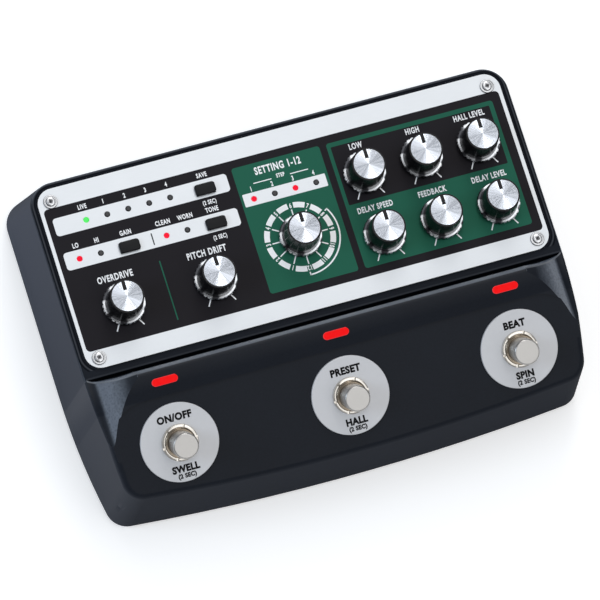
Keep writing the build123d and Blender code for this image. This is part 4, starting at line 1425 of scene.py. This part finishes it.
@dataclass
class Lamps:
    """Panel lamps and the lenses over the foot switches."""

    frame: Frame

    def build(self) -> None:
        """Dresses the lamps."""
        finishes = {
            "leds_red_lit": Lamp("lamp_red", tint(255, 34, 62), tint(238, 18, 44), tint(255, 60, 84)),
            "status_lenses": Lamp("lens_red", tint(247, 24, 26), tint(236, 4, 8), tint(236, 62, 66)),
            "led_green_lit": Lamp("lamp_green", tint(110, 255, 130), tint(60, 235, 90), tint(90, 240, 110)),
            # Painted shade on the unlit lamps' sloped rims.
            "leds_dark": Plated("lamp_dark", tint(44, 43, 45), 0.3, metallic=0.0, steep=tint(5, 5, 6)),
        }
        for node, finish in finishes.items():
            self.frame.dress(finish.build(), node)


@dataclass
class ButtonsAndSockets:
    """Panel buttons, rear sockets and what is inside the case."""

    frame: Frame
    cap_size: tuple[float, float] = (7.8, 4.3)
    cap_low: float = 0.66
    cap_high: float = 1.5
    cap_corner: float = 1.1
    cap_corner_faces: int = 6
    cap_edge: float = 0.5
    cap_edge_faces: int = 4

    def build(self) -> None:
        """Makes the button caps and dresses the other pieces."""
        face = Moulded("button_plastic", tint(15, 16, 19), 0.36, specular=0.18).build()
        for control in ("store", "input", "tape"):
            self.add_button(f"{control}_button", face)
        dress = self.frame.dress
        black = Moulded("socket_plastic", tint(24, 24, 25), 0.5).build()
        dress(black, "phone_jacks", "mini_jacks", "dc_inlet", "pot_bodies", "selector_body", "tact_switches")
        steel = Plated("plain_steel", tint(196, 196, 198), 0.3).build()
        dress(steel, "pot_nuts", "usb_socket", "jack_nuts")
        lacquer = Moulded("board_lacquer", tint(24, 84, 48), 0.35).build()
        dress(lacquer, "panel_board", "switch_board", "main_board")
        dress(Moulded("post_nylon", tint(225, 224, 218), 0.5).build(), "board_posts")
        dress(Moulded("ribbon_jacket", tint(150, 152, 156), 0.5).build(), "ribbon_cables")

    def add_button(self, name: str, face: bpy.types.Material) -> None:
        """Replaces a button by one whose rounded cap covers its slot.

        Args:
            name: The button's node.
            face: Its finish.
        """
        low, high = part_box(name)
        panel = self.frame.panel.z
        place = Matrix.Translation(((low.x + high.x) / 2, (low.y + high.y) / 2, panel))
        cap = bmesh.new()
        bmesh.ops.create_cube(cap, size=1.0)
        tall = self.cap_high - self.cap_low
        size = Matrix.Diagonal((*self.cap_size, tall, 1))
        middle = Matrix.Translation((0, 0, (self.cap_high + self.cap_low) / 2))
        bmesh.ops.transform(cap, matrix=middle @ size, verts=cap.verts)
        corners = [e for e in cap.edges if abs(e.verts[0].co.z - e.verts[1].co.z) > tall / 2]
        round_off(cap, corners, self.cap_corner, self.cap_corner_faces)
        top = [e for e in cap.edges if min(v.co.z for v in e.verts) > self.cap_high - tall / 4]
        round_off(cap, top, self.cap_edge, self.cap_edge_faces)
        neck = place @ Matrix.Translation((0, 0, (self.cap_low + self.cap_high) / 2 * MM))
        stem = cut_copy(self.frame.nodes[name], neck)
        body, slot = self.frame.bodies[name], self.frame.slots[name]
        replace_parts(add_piece(f"{name}_capped", join(stem, settle(cap, place)), face, body), name)


@dataclass(frozen=True)
class SoftBox:
    """An oblong soft light that faces the pedal, in metres, watts and degrees of turn about its axis."""

    name: str
    place: tuple[float, float, float]
    size: tuple[float, float]
    watts: float
    turn: float = 0.0
    colour: tuple[float, float, float] = (1.0, 1.0, 1.0)

    def build(self) -> None:
        """Adds the light."""
        data = bpy.data.lights.new(self.name, "AREA")
        data.shape = "RECTANGLE"
        data.size, data.size_y = self.size
        data.energy = self.watts
        data.color = self.colour
        light = bpy.data.objects.new(self.name, data)
        aimed = Vector(self.place).to_track_quat("Z", "Y").to_matrix().to_4x4()
        turned = Matrix.Rotation(math.radians(self.turn), 4, "Z")
        light.matrix_world = Matrix.Translation(self.place) @ aimed @ turned
        bpy.context.scene.collection.objects.link(light)


@dataclass
class Studio:
    """Floor, soft light and the camera at the photograph's angle."""

    aim_mm: tuple[float, float, float] = (-6.17, -5.51, 40.0)
    azimuth: float = -43.45
    elevation: float = 72.79
    roll: float = 26.97
    distance_mm: float = 2168.0
    lens: float = 355.6
    sensor: float = 36.0
    farthest: float = 20.0
    floor_half: float = 6.0
    floor_cloud_mm: float = 60.0
    floor_low: Colour = tint(232, 232, 232)
    floor_high: Colour = tint(236, 236, 236)
    floor_roughness: float = 0.9
    floor_dim: Colour = (0.3, 0.3, 0.3, 1.0)
    floor_seen: Colour = (1.0, 1.0, 1.0, 1.0)
    floor_glow: float = 0.45
    world_colour: Colour = (0.9, 0.92, 0.95, 1.0)
    world_strength: float = 0.38
    lights: tuple[SoftBox, ...] = (
        SoftBox("strip_light", (0.34, 0.36, 1.6), (1.1, 2.3), 8.5, 61.0),
        SoftBox("rear_light", (0.28, 1.0, 0.92), (0.5, 0.5), 3.5),
        SoftBox("left_light", (-1.1, 0.1, 0.9), (0.55, 0.55), 5.2, colour=(0.7, 0.84, 1.0)),
        SoftBox("front_light", (0.31, -0.8, 1.27), (0.8, 0.8), 2.2),
    )

    def build(self) -> None:
        """Makes the studio."""
        bpy.context.scene.view_settings.view_transform = "Standard"
        self.add_camera()
        self.add_floor()
        self.add_world()
        for light in self.lights:
            light.build()

    def add_camera(self) -> None:
        """Makes the camera."""
        data = bpy.data.cameras.new("photo_camera")
        data.lens = self.lens
        data.sensor_width = self.sensor
        data.clip_end = self.farthest
        camera = bpy.data.objects.new("photo_camera", data)
        bpy.context.scene.collection.objects.link(camera)
        turn, rise = math.radians(self.azimuth), math.radians(self.elevation)
        back = Vector((math.sin(turn) * math.cos(rise), -math.cos(turn) * math.cos(rise), math.sin(rise)))
        upright = (-back).to_track_quat("-Z", "Y").to_matrix().to_4x4()
        rolled = upright @ Matrix.Rotation(math.radians(self.roll), 4, "Z")
        place = Vector(self.aim_mm) * MM + back * (self.distance_mm * MM)
        camera.matrix_world = Matrix.Translation(place) @ rolled
        bpy.context.scene.camera = camera

    def add_floor(self) -> None:
        """Makes the pale floor."""
        shape = bmesh.new()
        bmesh.ops.create_grid(shape, x_segments=1, y_segments=1, size=self.floor_half)
        mesh = bpy.data.meshes.new("floor")
        shape.to_mesh(mesh)
        shape.free()
        shade = Shade("floor_paper")
        cloud = shade.noise(shade.place(), self.floor_cloud_mm, 2.0)
        paper = shade.mix(cloud, self.floor_low, self.floor_high)
        shade.set(base_color=paper, roughness=self.floor_roughness)
        path = shade.node("ShaderNodeLightPath").outputs
        kinds = ("Is Camera Ray", "Is Glossy Ray", "Is Transmission Ray")
        rays = [Value(shade, path[kind]) for kind in kinds]
        seen = (rays[0] + rays[1] + rays[2]).clamped()
        glow = shade.mix(seen, self.floor_dim, self.floor_seen)
        shade.set(emission_color=glow, emission_strength=self.floor_glow)
        mesh.materials.append(shade.material)
        floor = bpy.data.objects.new("floor", mesh)
        bpy.context.scene.collection.objects.link(floor)
        floor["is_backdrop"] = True

    def add_world(self) -> None:
        """Makes an even pale surrounding."""
        world = bpy.data.worlds.new("studio")
        world.use_nodes = True
        ground = world.node_tree.nodes["Background"]
        ground.inputs["Color"].default_value = self.world_colour
        ground.inputs["Strength"].default_value = self.world_strength
        bpy.context.scene.world = world


def main() -> None:
    """Builds the pedal's looks and the studio."""
    logging.basicConfig(level=logging.INFO, format="%(message)s")
    frame = Frame()
    for part in (CaseShell, ControlPanel, Knobs, FootSwitches, Lamps, ButtonsAndSockets):
        part(frame).build()
        log.info("built %s", part.__name__)
    Studio().build()


if __name__ == "__main__":
    main()
